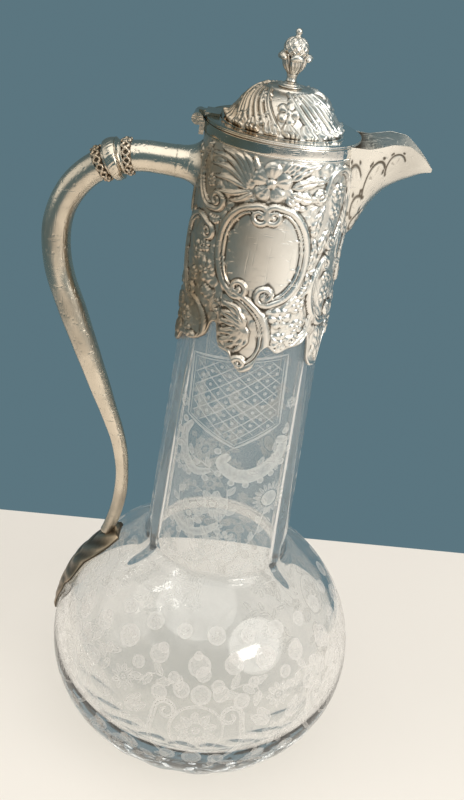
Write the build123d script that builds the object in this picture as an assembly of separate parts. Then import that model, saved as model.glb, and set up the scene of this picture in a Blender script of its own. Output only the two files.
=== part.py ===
from build123d import *
import os
from math import acos, asin, cos, degrees, pi, radians, sin, sqrt

# Claret jug: a cut and engraved glass globe with a tall neck, in embossed silver mounts.
# Millimetres. The origin is on the axis of the glass, on the table. +Z is up, the spout
# points to +X, the handle to -X, and the cartouche faces -Y.

# ---- glass ------------------------------------------------------------------------------
globe_radius = 63.3
globe_centre_z = 48.5
globe_upper_half = 57.0
globe_wall = 4.5
foot_radius = 26.0
floor_thickness = 8.0
neck_base_z = 88.0
neck_base_radius = 29.1
neck_top_radius = 24.7
neck_wall = 3.2
glass_top_z = 228.0
shoulder_blend = 9.0
mouth_rounding = 1.2
pillar_angle = 60.0
pillar_radius = 3.0
pillar_proud = 3.0
pillar_foot_drop = 2.2
pillar_fade_z = 196.0

# ---- collar, rim and bedding ------------------------------------------------------------
collar_wall = 0.8
collar_edge_z = 204.0
collar_stand_off = 1.3
rim_z = 267.9
bedding_gap = 0.12
bedding_bottom_z = 207.0
bedding_lip = 1.2
bedding_shrinkage = 0.1
solder_gap = 0.03
band_width = 3.9
band_thickness = 0.35
relief_height = 1.1
# Tabs of the scrolled lower edge: degrees round from the front, half width, lowest height.
collar_tabs = (
    (-83.0, 9.0, 188.5),
    (-50.0, 7.5, 194.0),
    (-4.0, 8.5, 188.0),
    (20.0, 5.5, 197.0),
    (38.0, 4.0, 199.5),
    (62.0, 5.5, 189.0),
    (90.0, 4.5, 195.5),
)
tab_rise = 0.5
cartouche_width = 29.2
cartouche_height = 36.0
cartouche_drop = 37.0
moulding_width = 2.5
volute_radius = 2.3
volute_spread = 1.2
volute_drop = 1.0
blossom_drop = 12.0
blossom_radius = 6.4
blossom_petals = 5
# Leaves beside the blossom: degrees of slope, length, half width.
blossom_leaves = ((20.0, 21.0, 2.6), (-8.0, 19.0, 2.6), (158.0, 21.0, 2.6), (188.0, 19.0, 2.6))
# Open scrolls on the sides: degrees round from the front, height, radius, middle of the gap.
side_scrolls = (
    (-56.0, 226.0, 8.4, 20.0),
    (-60.0, 203.0, 5.8, 150.0),
    (-58.0, 250.5, 6.0, 80.0),
    (56.0, 222.0, 7.6, 200.0),
    (49.0, 250.0, 5.4, 100.0),
)
scroll_gap = 70.0
side_moulding = 1.9
side_volute_radius = 1.7
# Roses: degrees round from the front, height, radius.
roses = (
    (-56.0, 227.0, 3.0),
    (-53.0, 203.0, 2.6),
    (-40.0, 220.5, 4.2),
    (18.0, 210.5, 3.8),
    (56.0, 222.0, 3.0),
)
rose_petals = 5
# Long scroll under the cartouche: places to the right of the middle and heights.
tail_scroll = ((-8.5, 217.0), (1.5, 211.5), (5.2, 202.5), (3.0, 195.0), (-1.0, 192.5))

# ---- spout ------------------------------------------------------------------------------
spout_wall = 0.9
spout_overcut = 2.5
spout_least_depth = 0.4
spout_tip_share = 0.4
spout_bilge_width = 0.72
spout_bilge_height = 0.48
spout_top_skim = 0.01
# Stations along the spout: distance out from the rim, half width, keel below the rim,
# lip above the rim.
spout_stations = (
    (-6.0, 13.6, 35.4, 0.0),
    (0.0, 12.6, 33.7, 0.0),
    (2.7, 12.2, 30.7, 0.1),
    (5.0, 11.8, 24.9, 0.7),
    (7.5, 11.3, 19.5, 1.5),
    (11.0, 10.5, 14.5, 2.5),
    (15.0, 9.0, 11.4, 2.5),
    (19.0, 6.4, 9.2, 0.5),
    (22.5, 3.6, 7.5, -2.3),
    (25.6, 0.8, 6.7, -5.5),
)

# ---- lid --------------------------------------------------------------------------------
lid_gap = 0.1
lid_side_gap = 0.4
flange_overhang = 0.3
flange_thickness = 1.2
flange_edge_round = 0.45
dome_ledge = 6.3
dome_side_rise = 7.3
dome_side_inset = 4.5
dome_top_radius = 8.5
dome_height = 12.3
dome_wall = 0.8
# Bosses chased up on the dome: how many in a ring, how far up the side, radius, how proud.
dome_bosses = ((7, 1.2, 3.9, 0.7), (14, 0.45, 2.6, 0.6), (7, 0.98, 3.2, 0.7))
bezel_clearance = 0.6
bezel_wall = 0.8
bezel_depth = 3.0

# ---- hinge ------------------------------------------------------------------------------
hinge_offset = 2.3
hinge_drop = 0.3
knuckle_radius = 2.0
barrel_length = 10.0
lid_knuckle_length = 3.2
knuckle_side_gap = 0.15
knuckle_swing_gap = 0.3
pin_radius = 0.7
pin_clearance = 0.05
pin_overhang = 0.3
lid_plate_thickness = 0.9
lid_plate_width = 9.0
lid_plate_length = 5.0
collar_plate_thickness = 1.3
apron_depth = 4.6
apron_drop = 0.3
plate_overlap = 1.0

# ---- handle -----------------------------------------------------------------------------
arm_z = 251.3
arm_run = 16.0
arm_radius = 5.35
arm_into_collar = 3.0
bend_radius = 32.0
back_radius = 53.6
foot_curve_radius = 70.0
foot_curve_lean = 20.0
scroll_radius = 5.25
scroll_sections = 30
waist_radius = 2.65
socket_radius = 8.0
socket_length = 8.0
socket_mouth = 1.0
socket_waist_run = 4.5
socket_waist = 1.2
socket_lip = 0.25
bead_distance = 29.7
bead_width = 4.2
bead_radius = 7.45
bead_crown = 1.2
ring_overcut = 1.0
cup_width = 1.6
cup_radius = 6.3
cup_hollow = 0.2
cup_lip_step = 0.3
gallery_width = 3.0
gallery_radius = 6.6
gallery_bevel = 0.5
gallery_gap = 0.15
gallery_rear_gap = 1.0
gallery_piercings = 10
gallery_piercing_radius = 0.75
gallery_notch_radius = 0.52
handle_foot_z = 93.0
handle_foot_standoff = 6.0

# ---- leaf at the foot of the handle -----------------------------------------------------
leaf_tip_z = 49.5
leaf_half_width = 11.0
leaf_tip_proud = 2.2
leaf_top_proud = 8.0
leaf_lobes = 3
leaf_lobe_depth = 1.6
cement_thickness = 0.4
cement_inset = 1.5
cement_gap = 0.05

# ---- finial -----------------------------------------------------------------------------
finial_foot_radius = 4.1
finial_foot_height = 1.9
finial_stem_radius = 1.55
finial_stem_height = 2.4
calyx_radius = 4.5
calyx_height = 6.6
calyx_curl = 1.4
calyx_wall = 0.7
calyx_leaves = 5
bud_radius = 4.05
bud_height = 7.3
bud_seat_rise = 4.4
ball_radius = 1.1
ball_neck_radius = 0.8
ball_neck_height = 0.5
stud_radius = 0.9
stud_clearance = 0.05
stud_into_calyx = 1.6
nut_height = 1.8
nut_across_flats = 5.0
washer_radius = 3.6
washer_thickness = 0.6
stud_end = 0.8

# ---- worked out from the sizes above ----------------------------------------------------
globe_lower_half = globe_centre_z / sqrt(1 - (foot_radius / globe_radius) ** 2)
collar_top_radius = neck_top_radius + collar_stand_off
flange_radius = collar_top_radius + flange_overhang
dome_foot_radius = flange_radius - dome_ledge
collar_bottom_z = min(tab[2] for tab in collar_tabs)
flange_z = rim_z + lid_gap
flange_top_z = flange_z + flange_thickness
dome_top_z = flange_top_z + dome_height
hinge_x = -(flange_radius + hinge_offset)
hinge_z = rim_z - hinge_drop
far = 200.0


def globe_radius_at(z, side=0.0, top=0.0):
    """Radius of the globe at a height, with its half axes grown by side and top."""
    half = globe_upper_half + top if z > globe_centre_z else globe_lower_half + top
    return (globe_radius + side) * sqrt(max(0.0, 1 - ((z - globe_centre_z) / half) ** 2))


def neck_radius_at(z):
    """Outer radius of the tapering neck at a height."""
    share = (z - neck_base_z) / (glass_top_z - neck_base_z)
    return neck_base_radius + share * (neck_top_radius - neck_base_radius)


def shoulder_z(side, neck_inset):
    """Height where the neck, moved in, meets the upper ellipse with both half axes grown."""
    width, half = globe_radius + side, globe_upper_half + side
    slope = (neck_top_radius - neck_base_radius) / (glass_top_z - neck_base_z)
    level = neck_radius_at(globe_centre_z) - neck_inset
    a = (slope / width) ** 2 + 1 / half ** 2
    b = level * slope / width ** 2
    c = (level / width) ** 2 - 1
    return globe_centre_z + (sqrt(b * b - a * c) - b) / a


collar_bottom_radius = neck_radius_at(collar_bottom_z) + bedding_gap + collar_wall


def collar_radius_at(z):
    """Outer radius of the collar at a height."""
    share = (z - collar_bottom_z) / (rim_z - collar_bottom_z)
    return collar_bottom_radius + share * (collar_top_radius - collar_bottom_radius)


def turned(face):
    """Turn a face, drawn as radius and height, round the axis of the jug."""
    return revolve(Plane.XZ * face, Axis.Z)


def turned_polygon(*points):
    """Turn a polygon of radius and height points round the axis of the jug."""
    return turned(make_face(Polyline(*points, close=True)))


def facing(azimuth):
    """Plane through the axis whose normal points out at the azimuth; its Y is up."""
    angle = radians(azimuth)
    return Plane((0, 0, 0), x_dir=(-sin(angle), cos(angle), 0), z_dir=(cos(angle), sin(angle), 0))


def collar_layer(inside, outside, low, high):
    """Ring that follows the collar's taper between two offsets from its outer face."""
    return turned_polygon(
        (collar_radius_at(low) + inside, low),
        (collar_radius_at(low) + outside, low),
        (collar_radius_at(high) + outside, high),
        (collar_radius_at(high) + inside, high),
    )


# ---- glass ------------------------------------------------------------------------------
def globe_profile(side, top, base_half, low_angle):
    """Half outline of the globe: two ellipse arcs, angled from straight down, that meet at the widest."""
    centre = (0, globe_centre_z)
    width, up = globe_radius + side, globe_upper_half + top
    lower = EllipticalCenterArc(centre, base_half, width, 90 + low_angle, arc_size=-low_angle, rotation=-90)
    upper = EllipticalCenterArc(centre, up, width, 90, arc_size=90, rotation=-90)
    return lower, upper


def vessel_face(globe, side, neck_inset, top_z):
    """Globe outline, grown by side, joined to the tapering neck, with the corner blended."""
    neck = make_face(Polyline(
        (0, globe_centre_z),
        (neck_radius_at(globe_centre_z) - neck_inset, globe_centre_z),
        (neck_radius_at(top_z) - neck_inset, top_z),
        (0, top_z),
        close=True,
    ))
    outline = globe + neck
    corner_z = shoulder_z(side, neck_inset)
    corner = outline.vertices().sort_by_distance((neck_radius_at(corner_z) - neck_inset, corner_z))[0]
    return fillet(corner, shoulder_blend)


def glass_body():
    foot_angle = -degrees(acos(foot_radius / globe_radius))
    lower, upper = globe_profile(0, 0, globe_lower_half, foot_angle)
    base = Polyline(upper @ 1, (0, 0), lower @ 0)
    outer = turned(vessel_face(make_face([lower, upper, base]), 0, 0, glass_top_z))
    for azimuth in front_and_back(-pillar_angle) + front_and_back(pillar_angle):
        outer += pillar(azimuth)
    floor_half = globe_centre_z - floor_thickness
    lower, upper = globe_profile(-globe_wall, -globe_wall, floor_half, -90)
    hollow_globe = make_face([lower, upper, Line(upper @ 1, lower @ 0)])
    hollow = turned(vessel_face(hollow_globe, -globe_wall, neck_wall, glass_top_z + 1))
    body = outer - hollow
    return fillet(body.edges().group_by(Axis.Z)[-1], mouth_rounding)


def pillar(azimuth):
    """Upright rounded rib on the neck: it ends in a tongue on the shoulder, and fades above."""
    pillar_foot_z = shoulder_z(0, 0) - pillar_foot_drop
    foot = neck_radius_at(pillar_foot_z) + pillar_proud - pillar_radius
    head = neck_radius_at(pillar_fade_z) - pillar_radius
    out = facing(azimuth).z_dir
    start = out * foot + Vector(0, 0, pillar_foot_z)
    end = out * head + Vector(0, 0, pillar_fade_z)
    axis = Plane(start, z_dir=end - start)
    rib = extrude(axis * Circle(pillar_radius), (end - start).length)
    return rib + Pos(start) * Sphere(pillar_radius)


# ---- collar -----------------------------------------------------------------------------
def front_and_back(angle):
    """Azimuths, front and mirrored at the back, of something placed by its angle from the front."""
    return sorted({(270 + angle) % 360, (90 - angle) % 360})


def collar_tab(azimuth, half_width, low):
    """Rounded tongue of the lower edge, drawn flat and carried out through the wall."""
    top = collar_edge_z + tab_rise
    shape = Pos(0, top) * Ellipse(half_width, top - low)
    return extrude(facing(azimuth) * shape, far)


def c_scroll(side):
    """One of the two facing C-shaped scrolls of the cartouche, with a volute at each end."""
    outer = Ellipse(cartouche_width / 2, cartouche_height / 2)
    inner = Ellipse(cartouche_width / 2 - moulding_width, cartouche_height / 2 - moulding_width)
    half = Pos(side * cartouche_width / 2, 0) * Rectangle(
        cartouche_width - moulding_width, cartouche_height + moulding_width
    )
    volutes = Sketch()
    for end in (-1, 1):
        reach = cartouche_height / 2 - volute_radius - volute_drop
        volutes += Pos(side * (volute_radius + volute_spread), end * reach) * Circle(volute_radius)
    return (outer - inner) & half + volutes


def flower(radius, petals):
    """Round petals about a boss."""
    shape = Circle(radius * 0.4)
    for place in PolarLocations(radius * 0.6, petals, start_angle=90):
        shape += Pos(place.position) * Circle(radius * 0.42)
    return shape


def leaf_pointing(slope, length, half_width):
    """Pointed leaf from the middle out, between two arcs."""
    tip = Vector(length, 0)
    low = ThreePointArc((0, 0), (length / 2, -half_width), tip)
    high = ThreePointArc((0, 0), (length / 2, half_width), tip)
    return Rotation(0, 0, slope) * make_face([low, high])


def open_scroll(radius, gap_middle):
    """Ring with a gap and a volute inside each end of it."""
    ring = Circle(radius) - Circle(radius - side_moulding)
    reach = radius - side_volute_radius
    corners = [(0, 0)]
    volutes = Sketch()
    for end in (-1, 1):
        angle = radians(gap_middle + end * scroll_gap / 2)
        corners.append((2 * radius * cos(angle), 2 * radius * sin(angle)))
        volutes += Pos(reach * cos(angle), reach * sin(angle)) * Circle(side_volute_radius)
    return ring - make_face(Polyline(*corners, close=True)) + volutes


def tail():
    """Long scroll under the cartouche: a band along a spline, with a volute at its end."""
    line = Spline(*tail_scroll)
    volute = Pos(tail_scroll[-1]) * Circle(volute_radius)
    return volute + trace(line, moulding_width)


def collar_relief():
    """Raised work of the collar's front: scrolls, flowers and leaves as thick layers."""
    blossom_z = rim_z - blossom_drop
    middle = Pos(0, rim_z - cartouche_drop) * (c_scroll(-1) + c_scroll(1))
    middle += Pos(0, blossom_z) * flower(blossom_radius, blossom_petals)
    for leaf in blossom_leaves:
        middle += Pos(0, blossom_z) * leaf_pointing(*leaf)
    middle += tail()
    drawn = [(0, middle)]
    for angle, z, radius, gap_middle in side_scrolls:
        drawn.append((angle, Pos(0, z) * open_scroll(radius, gap_middle)))
    for angle, z, radius in roses:
        drawn.append((angle, Pos(0, z) * flower(radius, rose_petals)))
    layer = collar_layer(-collar_wall / 2, relief_height, collar_bottom_z, rim_z - band_width)
    return [extrude(facing(270 + angle) * shape, far) & layer for angle, shape in drawn]


def collar_shell():
    wall = collar_layer(-collar_wall, 0, collar_edge_z, rim_z)
    skirt = collar_layer(-collar_wall, 0, collar_bottom_z - 1, collar_edge_z)
    for angle, half_width, low in collar_tabs:
        for azimuth in front_and_back(angle):
            wall += skirt & collar_tab(azimuth, half_width, low)
    for piece in collar_relief():
        wall += piece
        wall += mirror(piece, Plane.XZ)
    return wall - spout_channel()


def neck_plaster():
    top = glass_top_z + bedding_lip
    gap = bedding_shrinkage
    sleeve = collar_layer(-far / 10, -collar_wall - gap, bedding_bottom_z, top)
    room = turned_polygon(
        (0, 0),
        (neck_radius_at(0) + gap, 0),
        (neck_radius_at(glass_top_z) + gap, glass_top_z + gap),
        (neck_radius_at(glass_top_z) - neck_wall, glass_top_z + gap),
        (neck_radius_at(glass_top_z) - neck_wall, top + 1),
        (0, top + 1),
    )
    return sleeve - room


def rim_band():
    low = rim_z - band_width
    ring = collar_layer(solder_gap, solder_gap + band_thickness, low, rim_z)
    return ring - spout_channel() - spout_blank()


# ---- spout ------------------------------------------------------------------------------
def spout_face(x, half_width, keel_z, lip_z, rise):
    """Cross section of the spout: a rounded V from lip to lip, closed across the top."""
    height = lip_z - keel_z
    curve = Spline(
        (-half_width, lip_z),
        (-spout_bilge_width * half_width, keel_z + spout_bilge_height * height),
        (0, keel_z),
        (spout_bilge_width * half_width, keel_z + spout_bilge_height * height),
        (half_width, lip_z),
    )
    top = Polyline(curve @ 1, (half_width, lip_z + rise), (-half_width, lip_z + rise), curve @ 0)
    plane = Plane((x, 0, 0), x_dir=(0, 1, 0), z_dir=(1, 0, 0))
    return plane * make_face([curve, top])


def spout_rows():
    """The stations as x, half width, keel height, lip height and slope of the keel."""
    rows = []
    for index, (out, half_width, drop, rise) in enumerate(spout_stations):
        before = spout_stations[max(index - 1, 0)]
        after = spout_stations[min(index + 1, len(spout_stations) - 1)]
        slope = (before[2] - after[2]) / (after[0] - before[0])
        x = collar_top_radius + out
        rows.append((x, half_width, rim_z - drop, rim_z + rise, slope))
    return rows


def spout_blank():
    """The spout as a solid block, before its channel is cut."""
    faces = []
    for x, half_width, keel, lip, slope in spout_rows():
        faces.append(spout_face(x, half_width, keel, lip, spout_top_skim))
    return loft(faces)


def spout_channel():
    """The hollow of the spout, which also opens the wall of the collar behind it."""
    faces = []
    for x, half_width, keel, lip, slope in spout_rows():
        inner = max(half_width - spout_wall, spout_tip_share * half_width)
        floor = min(keel + spout_wall * sqrt(1 + slope ** 2), lip - spout_least_depth)
        faces.append(spout_face(x, inner, floor, lip, spout_overcut))
    return loft(faces)


def spout():
    core = turned_polygon(
        (0, collar_bottom_z),
        (collar_bottom_radius + solder_gap, collar_bottom_z),
        (collar_top_radius + solder_gap, rim_z),
        (collar_top_radius + solder_gap, dome_top_z),
        (0, dome_top_z),
    )
    lid_room = turned_polygon(
        (0, rim_z),
        (flange_radius + lid_side_gap, rim_z),
        (flange_radius + lid_side_gap, dome_top_z),
        (0, dome_top_z),
    )
    return spout_blank() - spout_channel() - core - lid_room


# ---- lid --------------------------------------------------------------------------------
def lid_flange():
    inner = dome_foot_radius - dome_wall
    face = make_face(Polyline(
        (inner, flange_z),
        (flange_radius, flange_z),
        (flange_radius, flange_top_z),
        (inner, flange_top_z),
        close=True,
    ))
    rim = face.vertices().group_by(Axis.X)[-1]
    return turned(fillet(rim, flange_edge_round))


def dome_line(inset):
    """Outline of the dome: a sloping side, a round shoulder and a flat crown."""
    foot = (dome_foot_radius - inset, flange_top_z)
    knee = (foot[0] - dome_side_inset, flange_top_z + dome_side_rise - inset / 2)
    side = Line(foot, knee)
    shoulder = TangentArc(knee, (dome_top_radius, dome_top_z - inset), tangent=side % 1)
    crown = Line(shoulder @ 1, (0, dome_top_z - inset))
    return side, shoulder, crown


def dome_solid(inset):
    side, shoulder, crown = dome_line(inset)
    base = Polyline(crown @ 1, (0, flange_top_z), side @ 0)
    return turned(make_face([side, shoulder, crown, base]))


def dome_ring_of_bosses(count, share, radius, proud):
    """Balls set round the dome at a share of its outline up from the foot, mostly sunk."""
    side, shoulder, crown = dome_line(0)
    line = side if share < 1 else shoulder
    at = share if share < 1 else share - 1
    point, along_line = line @ at, line % at
    out = Vector(along_line.Y, -along_line.X)
    centre = Vector(point.X, point.Y) + out * (proud - radius)
    balls = []
    for index in range(count):
        turn = Rotation(0, 0, 360.0 * (index + share) / count)
        balls.append(turn * Pos(centre.X, 0, centre.Y) * Sphere(radius))
    return balls


def lid_dome():
    dome = dome_solid(0)
    for ring in dome_bosses:
        for ball in dome_ring_of_bosses(*ring):
            dome += ball
    bore = Pos(0, 0, dome_top_z) * Cylinder(stud_radius + stud_clearance, 6 * dome_wall)
    below = turned_polygon((0, 0), (flange_radius, 0), (flange_radius, flange_top_z), (0, flange_top_z))
    return dome - dome_solid(dome_wall) - bore - below


def lid_bezel():
    outer = collar_top_radius - collar_wall - bezel_clearance
    return turned_polygon(
        (outer - bezel_wall, flange_z - bezel_depth),
        (outer, flange_z - bezel_depth),
        (outer, flange_z),
        (outer - bezel_wall, flange_z),
    )


# ---- hinge ------------------------------------------------------------------------------
def along_hinge(radius, low, high):
    """Cylinder on the hinge axis between two places along it."""
    plane = Plane((hinge_x, low, hinge_z), x_dir=(1, 0, 0), z_dir=(0, 1, 0))
    return extrude(plane * Circle(radius), high - low)


def block(x_range, y_range, z_range):
    """Box between two values on each axis."""
    size = [high - low for low, high in (x_range, y_range, z_range)]
    middle = [(high + low) / 2 for low, high in (x_range, y_range, z_range)]
    return Pos(*middle) * Box(*size)


def hinge_lid_plate():
    half = lid_knuckle_length / 2
    edge = hinge_x + knuckle_radius + knuckle_swing_gap
    plate_z = (flange_top_z, flange_top_z + lid_plate_thickness)
    across = (-lid_plate_width / 2, lid_plate_width / 2)
    leaf = block((edge, edge + lid_plate_length), across, plate_z)
    tongue = block((hinge_x, edge + plate_overlap), (-half, half), plate_z)
    web = (hinge_z + knuckle_radius / 2, plate_z[1])
    tongue += block((hinge_x, -flange_radius - solder_gap), (-half, half), web)
    knuckle = along_hinge(knuckle_radius, -half, half)
    return leaf + tongue + knuckle - along_hinge(pin_radius + pin_clearance, -half - 1, half + 1)


def hinge_collar_plate():
    half = barrel_length / 2
    slot = lid_knuckle_length / 2 + knuckle_side_gap
    apron_top = hinge_z - apron_drop
    inside = 2 * plate_overlap - collar_top_radius
    apron = block(
        (hinge_x, inside),
        (-half, half),
        (apron_top - collar_plate_thickness, apron_top),
    )
    apron += block(
        (-collar_top_radius - band_thickness - collar_plate_thickness, inside),
        (-half, half),
        (apron_top - apron_depth, apron_top),
    )
    apron -= collar_layer(-far / 10, solder_gap * 2 + band_thickness, collar_edge_z, rim_z)
    plate = apron + along_hinge(knuckle_radius, -half, half)
    plate -= along_hinge(knuckle_radius + knuckle_swing_gap, -slot, slot)
    return plate - along_hinge(pin_radius, -half - 1, half + 1)


def hinge_pin():
    half = barrel_length / 2 + pin_overhang
    return along_hinge(pin_radius, -half, half)


# ---- handle -----------------------------------------------------------------------------
def handle_runs():
    """Runs of the centre line as length and radius: straight runs have no radius.

    The line leaves the collar level, turns down through a quarter circle, leans in along
    a wider arc and a straight run, and turns back out onto the shoulder of the glass. The
    lean and the straight run are worked out so that the line ends at the leaf.
    """
    lean_out = radians(foot_curve_lean)
    end_x = -(globe_radius_at(handle_foot_z) + handle_foot_standoff)
    bend_x = -collar_radius_at(arm_z) - arm_run - bend_radius
    across = end_x - bend_x - back_radius - foot_curve_radius * cos(lean_out)
    down = arm_z - bend_radius - handle_foot_z - foot_curve_radius * sin(lean_out)
    both = back_radius + foot_curve_radius
    straight = sqrt(across ** 2 + down ** 2 - both ** 2)
    lean_in = asin((across * straight + down * both) / (straight ** 2 + both ** 2))
    return (
        (arm_run, 0.0),
        (bend_radius * pi / 2, bend_radius),
        (back_radius * lean_in, back_radius),
        (straight, 0.0),
        (foot_curve_radius * (lean_in + lean_out), -foot_curve_radius),
    )


def handle_length():
    return sum(length for length, radius in handle_runs())


def handle_plane(distance):
    """Plane square to the handle's centre line at a distance along it from the collar."""
    x = -collar_radius_at(arm_z)
    z = arm_z
    heading = 0.0
    left = distance
    for length, radius in handle_runs():
        step = min(left, length)
        if radius:
            turned_to = heading + step / radius
            x -= radius * (sin(turned_to) - sin(heading))
            z += radius * (cos(turned_to) - cos(heading))
            heading = turned_to
        else:
            x -= step * cos(heading)
            z -= step * sin(heading)
        left -= step
    return Plane((x, 0, z), x_dir=(0, 1, 0), z_dir=(-cos(heading), 0, -sin(heading)))


def scroll_radius_at(distance):
    """Radius of the long tube: full through the bend, easing down to the waist."""
    runs = handle_runs()
    start = sum(length for length, radius in runs[:3])
    share = (distance - start) / (runs[3][0] + runs[4][0] * 0.5)
    share = min(max(share, 0.0), 1.0)
    ease = share * share * (3 - 2 * share)
    return scroll_radius + ease * (waist_radius - scroll_radius)


def ring_on_handle(start, end, outline, bore):
    """Ring round the handle between two distances along it, with ends square to the line.

    The outline is turned round the line at the ring's middle. It runs a little past both
    ends, where the ring is cut, so that rings side by side share a face in a bend.
    """
    plane = handle_plane((start + end) / 2)
    half = (end - start) / 2 + ring_overcut
    first, last = outline @ 0, outline @ 1
    closing = Polyline(outline @ 1, (last.X, half), (bore, half), (bore, -half), (first.X, -half), first)
    section = Plane(plane.origin, x_dir=plane.x_dir, z_dir=plane.x_dir.cross(plane.z_dir))
    solid = revolve(section * make_face([outline, closing]), Axis(plane.origin, plane.z_dir))
    after = handle_plane(start) * Pos(0, 0, far / 2) * Box(far, far, far)
    before = handle_plane(end) * Pos(0, 0, -far / 2) * Box(far, far, far)
    return solid & after & before


def collar_core():
    """Everything inside the collar's outer face, to trim what is soldered onto it."""
    return turned_polygon(
        (0, collar_edge_z),
        (collar_radius_at(collar_edge_z) + solder_gap, collar_edge_z),
        (collar_top_radius + solder_gap, rim_z),
        (0, rim_z),
    )


def handle_socket():
    start = collar_radius_at(arm_z) - arm_into_collar
    flare = Spline(
        (start, arm_z + socket_radius + socket_mouth),
        (start + socket_waist_run, arm_z + arm_radius + socket_waist),
        (start + arm_into_collar + socket_length, arm_z + arm_radius + socket_lip),
    )
    inner = arm_z + arm_radius + solder_gap
    edge = Polyline(flare @ 1, ((flare @ 1).X, inner), ((flare @ 0).X, inner), flare @ 0)
    face = Plane.XZ * make_face([flare, edge])
    solid = revolve(face, Axis((0, 0, arm_z), (1, 0, 0)))
    return mirror(solid, Plane.YZ) - collar_core()


def handle_upper_arm():
    end = bead_distance - bead_width / 2
    bend_start = handle_plane(arm_run).origin
    path = Line((arm_into_collar - collar_radius_at(arm_z), 0, arm_z), bend_start)
    middle = handle_plane((arm_run + end) / 2).origin
    bend = ThreePointArc(bend_start, middle, handle_plane(end).origin)
    start = Plane(path @ 0, z_dir=(-1, 0, 0))
    tube = sweep(start * Circle(arm_radius), path=path + bend)
    return tube - collar_core()


def gallery(start, tube_radius):
    """Pierced ring of leaves round the handle: scalloped edges and a row of holes."""
    half = gallery_width / 2
    outline = Polyline(
        (gallery_radius - gallery_bevel, -half),
        (gallery_radius, -half / 2),
        (gallery_radius, half / 2),
        (gallery_radius - gallery_bevel, half),
    )
    ring = ring_on_handle(start, start + gallery_width, outline, tube_radius + gallery_gap)
    plane = handle_plane(start + half)
    for index in range(gallery_piercings):
        turn = plane.rotated((0, 0, 360.0 * index / gallery_piercings))
        out = Plane(turn.origin, x_dir=turn.y_dir, z_dir=turn.x_dir)
        ring -= extrude(out * Circle(gallery_piercing_radius), 2 * gallery_radius)
        between = turn.rotated((0, 0, 180.0 / gallery_piercings))
        notch = Plane(between.origin, x_dir=between.y_dir, z_dir=between.x_dir)
        for end in (-half, half):
            cut = Pos(0, end) * Circle(gallery_notch_radius)
            ring -= extrude(notch * cut, 2 * gallery_radius)
    return ring


def handle_front_gallery():
    return gallery(bead_distance - bead_width / 2 - cup_width - gallery_width, arm_radius)


def handle_rear_gallery():
    return gallery(bead_distance + bead_width / 2 + gallery_rear_gap, scroll_radius)


def handle_cup():
    """Cove-shaped cup between the front gallery and the bead."""
    half = cup_width / 2
    lip = (bead_radius - cup_lip_step, half)
    cove = ThreePointArc((cup_radius, -half), (cup_radius - cup_hollow, 0), lip)
    end = bead_distance - bead_width / 2
    return ring_on_handle(end - cup_width, end, cove, arm_radius + gallery_gap)


def handle_bead_ring():
    """Solid round-edged knop between the two tubes."""
    half = bead_width / 2
    side = bead_radius - bead_crown
    edge = ThreePointArc((side, -half), (bead_radius, 0), (side, half))
    return ring_on_handle(bead_distance - half, bead_distance + half, edge, 0)


def handle_scroll():
    start = bead_distance + bead_width / 2
    end = handle_length()
    sections = []
    for index in range(scroll_sections + 1):
        distance = start + (end - start) * index / scroll_sections
        sections.append(handle_plane(distance) * Circle(scroll_radius_at(distance)))
    return loft(sections)


# ---- leaf at the foot of the handle -----------------------------------------------------
def leaf_plane():
    """Plane on the shoulder of the globe, square to the glass under the leaf's middle."""
    middle_z = (handle_foot_z + leaf_tip_z) / 2
    x = -globe_radius_at(middle_z)
    out = Vector(x / globe_radius ** 2, 0, (middle_z - globe_centre_z) / globe_upper_half ** 2)
    return Plane((x, 0, middle_z), x_dir=(0, 1, 0), z_dir=out)


def leaf_outline(inset):
    """Leaf with a pointed tip and rounded lobes on both sides."""
    plane = leaf_plane()
    top = Vector(-globe_radius_at(handle_foot_z), 0, handle_foot_z) - plane.origin
    tip = Vector(-globe_radius_at(leaf_tip_z), 0, leaf_tip_z) - plane.origin
    top_y = top.dot(plane.y_dir)
    tip_y = tip.dot(plane.y_dir)
    sign = 1 if tip_y > top_y else -1
    reach = abs(tip_y - top_y) - 2 * inset
    points = []
    for index in range(leaf_lobes + 1):
        share = index / leaf_lobes
        width = leaf_half_width * sin(pi * (0.18 + 0.72 * share)) - inset
        points.append((width, top_y + sign * (inset + reach * share * 0.82)))
    edges = []
    for (x0, y0), (x1, y1) in zip(points, points[1:]):
        bulge = ((x0 + x1) / 2 + leaf_lobe_depth, (y0 + y1) / 2)
        edges.append(ThreePointArc((x0, y0), bulge, (x1, y1)))
        edges.append(ThreePointArc((-x0, y0), (-bulge[0], bulge[1]), (-x1, y1)))
    end = (0, top_y + sign * (inset + reach))
    edges.append(Line((points[-1][0], points[-1][1]), end))
    edges.append(Line((-points[-1][0], points[-1][1]), end))
    edges.append(Line((points[0][0], points[0][1]), (-points[0][0], points[0][1])))
    return plane * make_face(edges)


def globe_solid(side, top):
    """Globe alone, grown by side at its widest and by top above, down to the widest height."""
    arc = EllipticalCenterArc((0, 0), globe_radius + side, globe_upper_half + top, 0, arc_size=90)
    deep = Polyline(arc @ 1, (0, -globe_centre_z), (globe_radius + side, -globe_centre_z), arc @ 0)
    return Pos(0, 0, globe_centre_z) * turned(make_face([arc, deep]))


def on_shoulder(outline, inner, outer):
    """Part of a layer over the globe that lies under an outline; each offset is side, top."""
    prism = extrude(outline, far / 8, both=True)
    return (prism & globe_solid(*outer)) - globe_solid(*inner)


def terminal_cement():
    outer = cement_gap + cement_thickness
    return on_shoulder(leaf_outline(cement_inset), (cement_gap, cement_gap), (outer, outer))


def handle_leaf_terminal():
    inner = cement_gap * 2 + cement_thickness
    solid = on_shoulder(leaf_outline(0), (inner, inner), (leaf_tip_proud, leaf_top_proud))
    return solid - handle_scroll()


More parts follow.
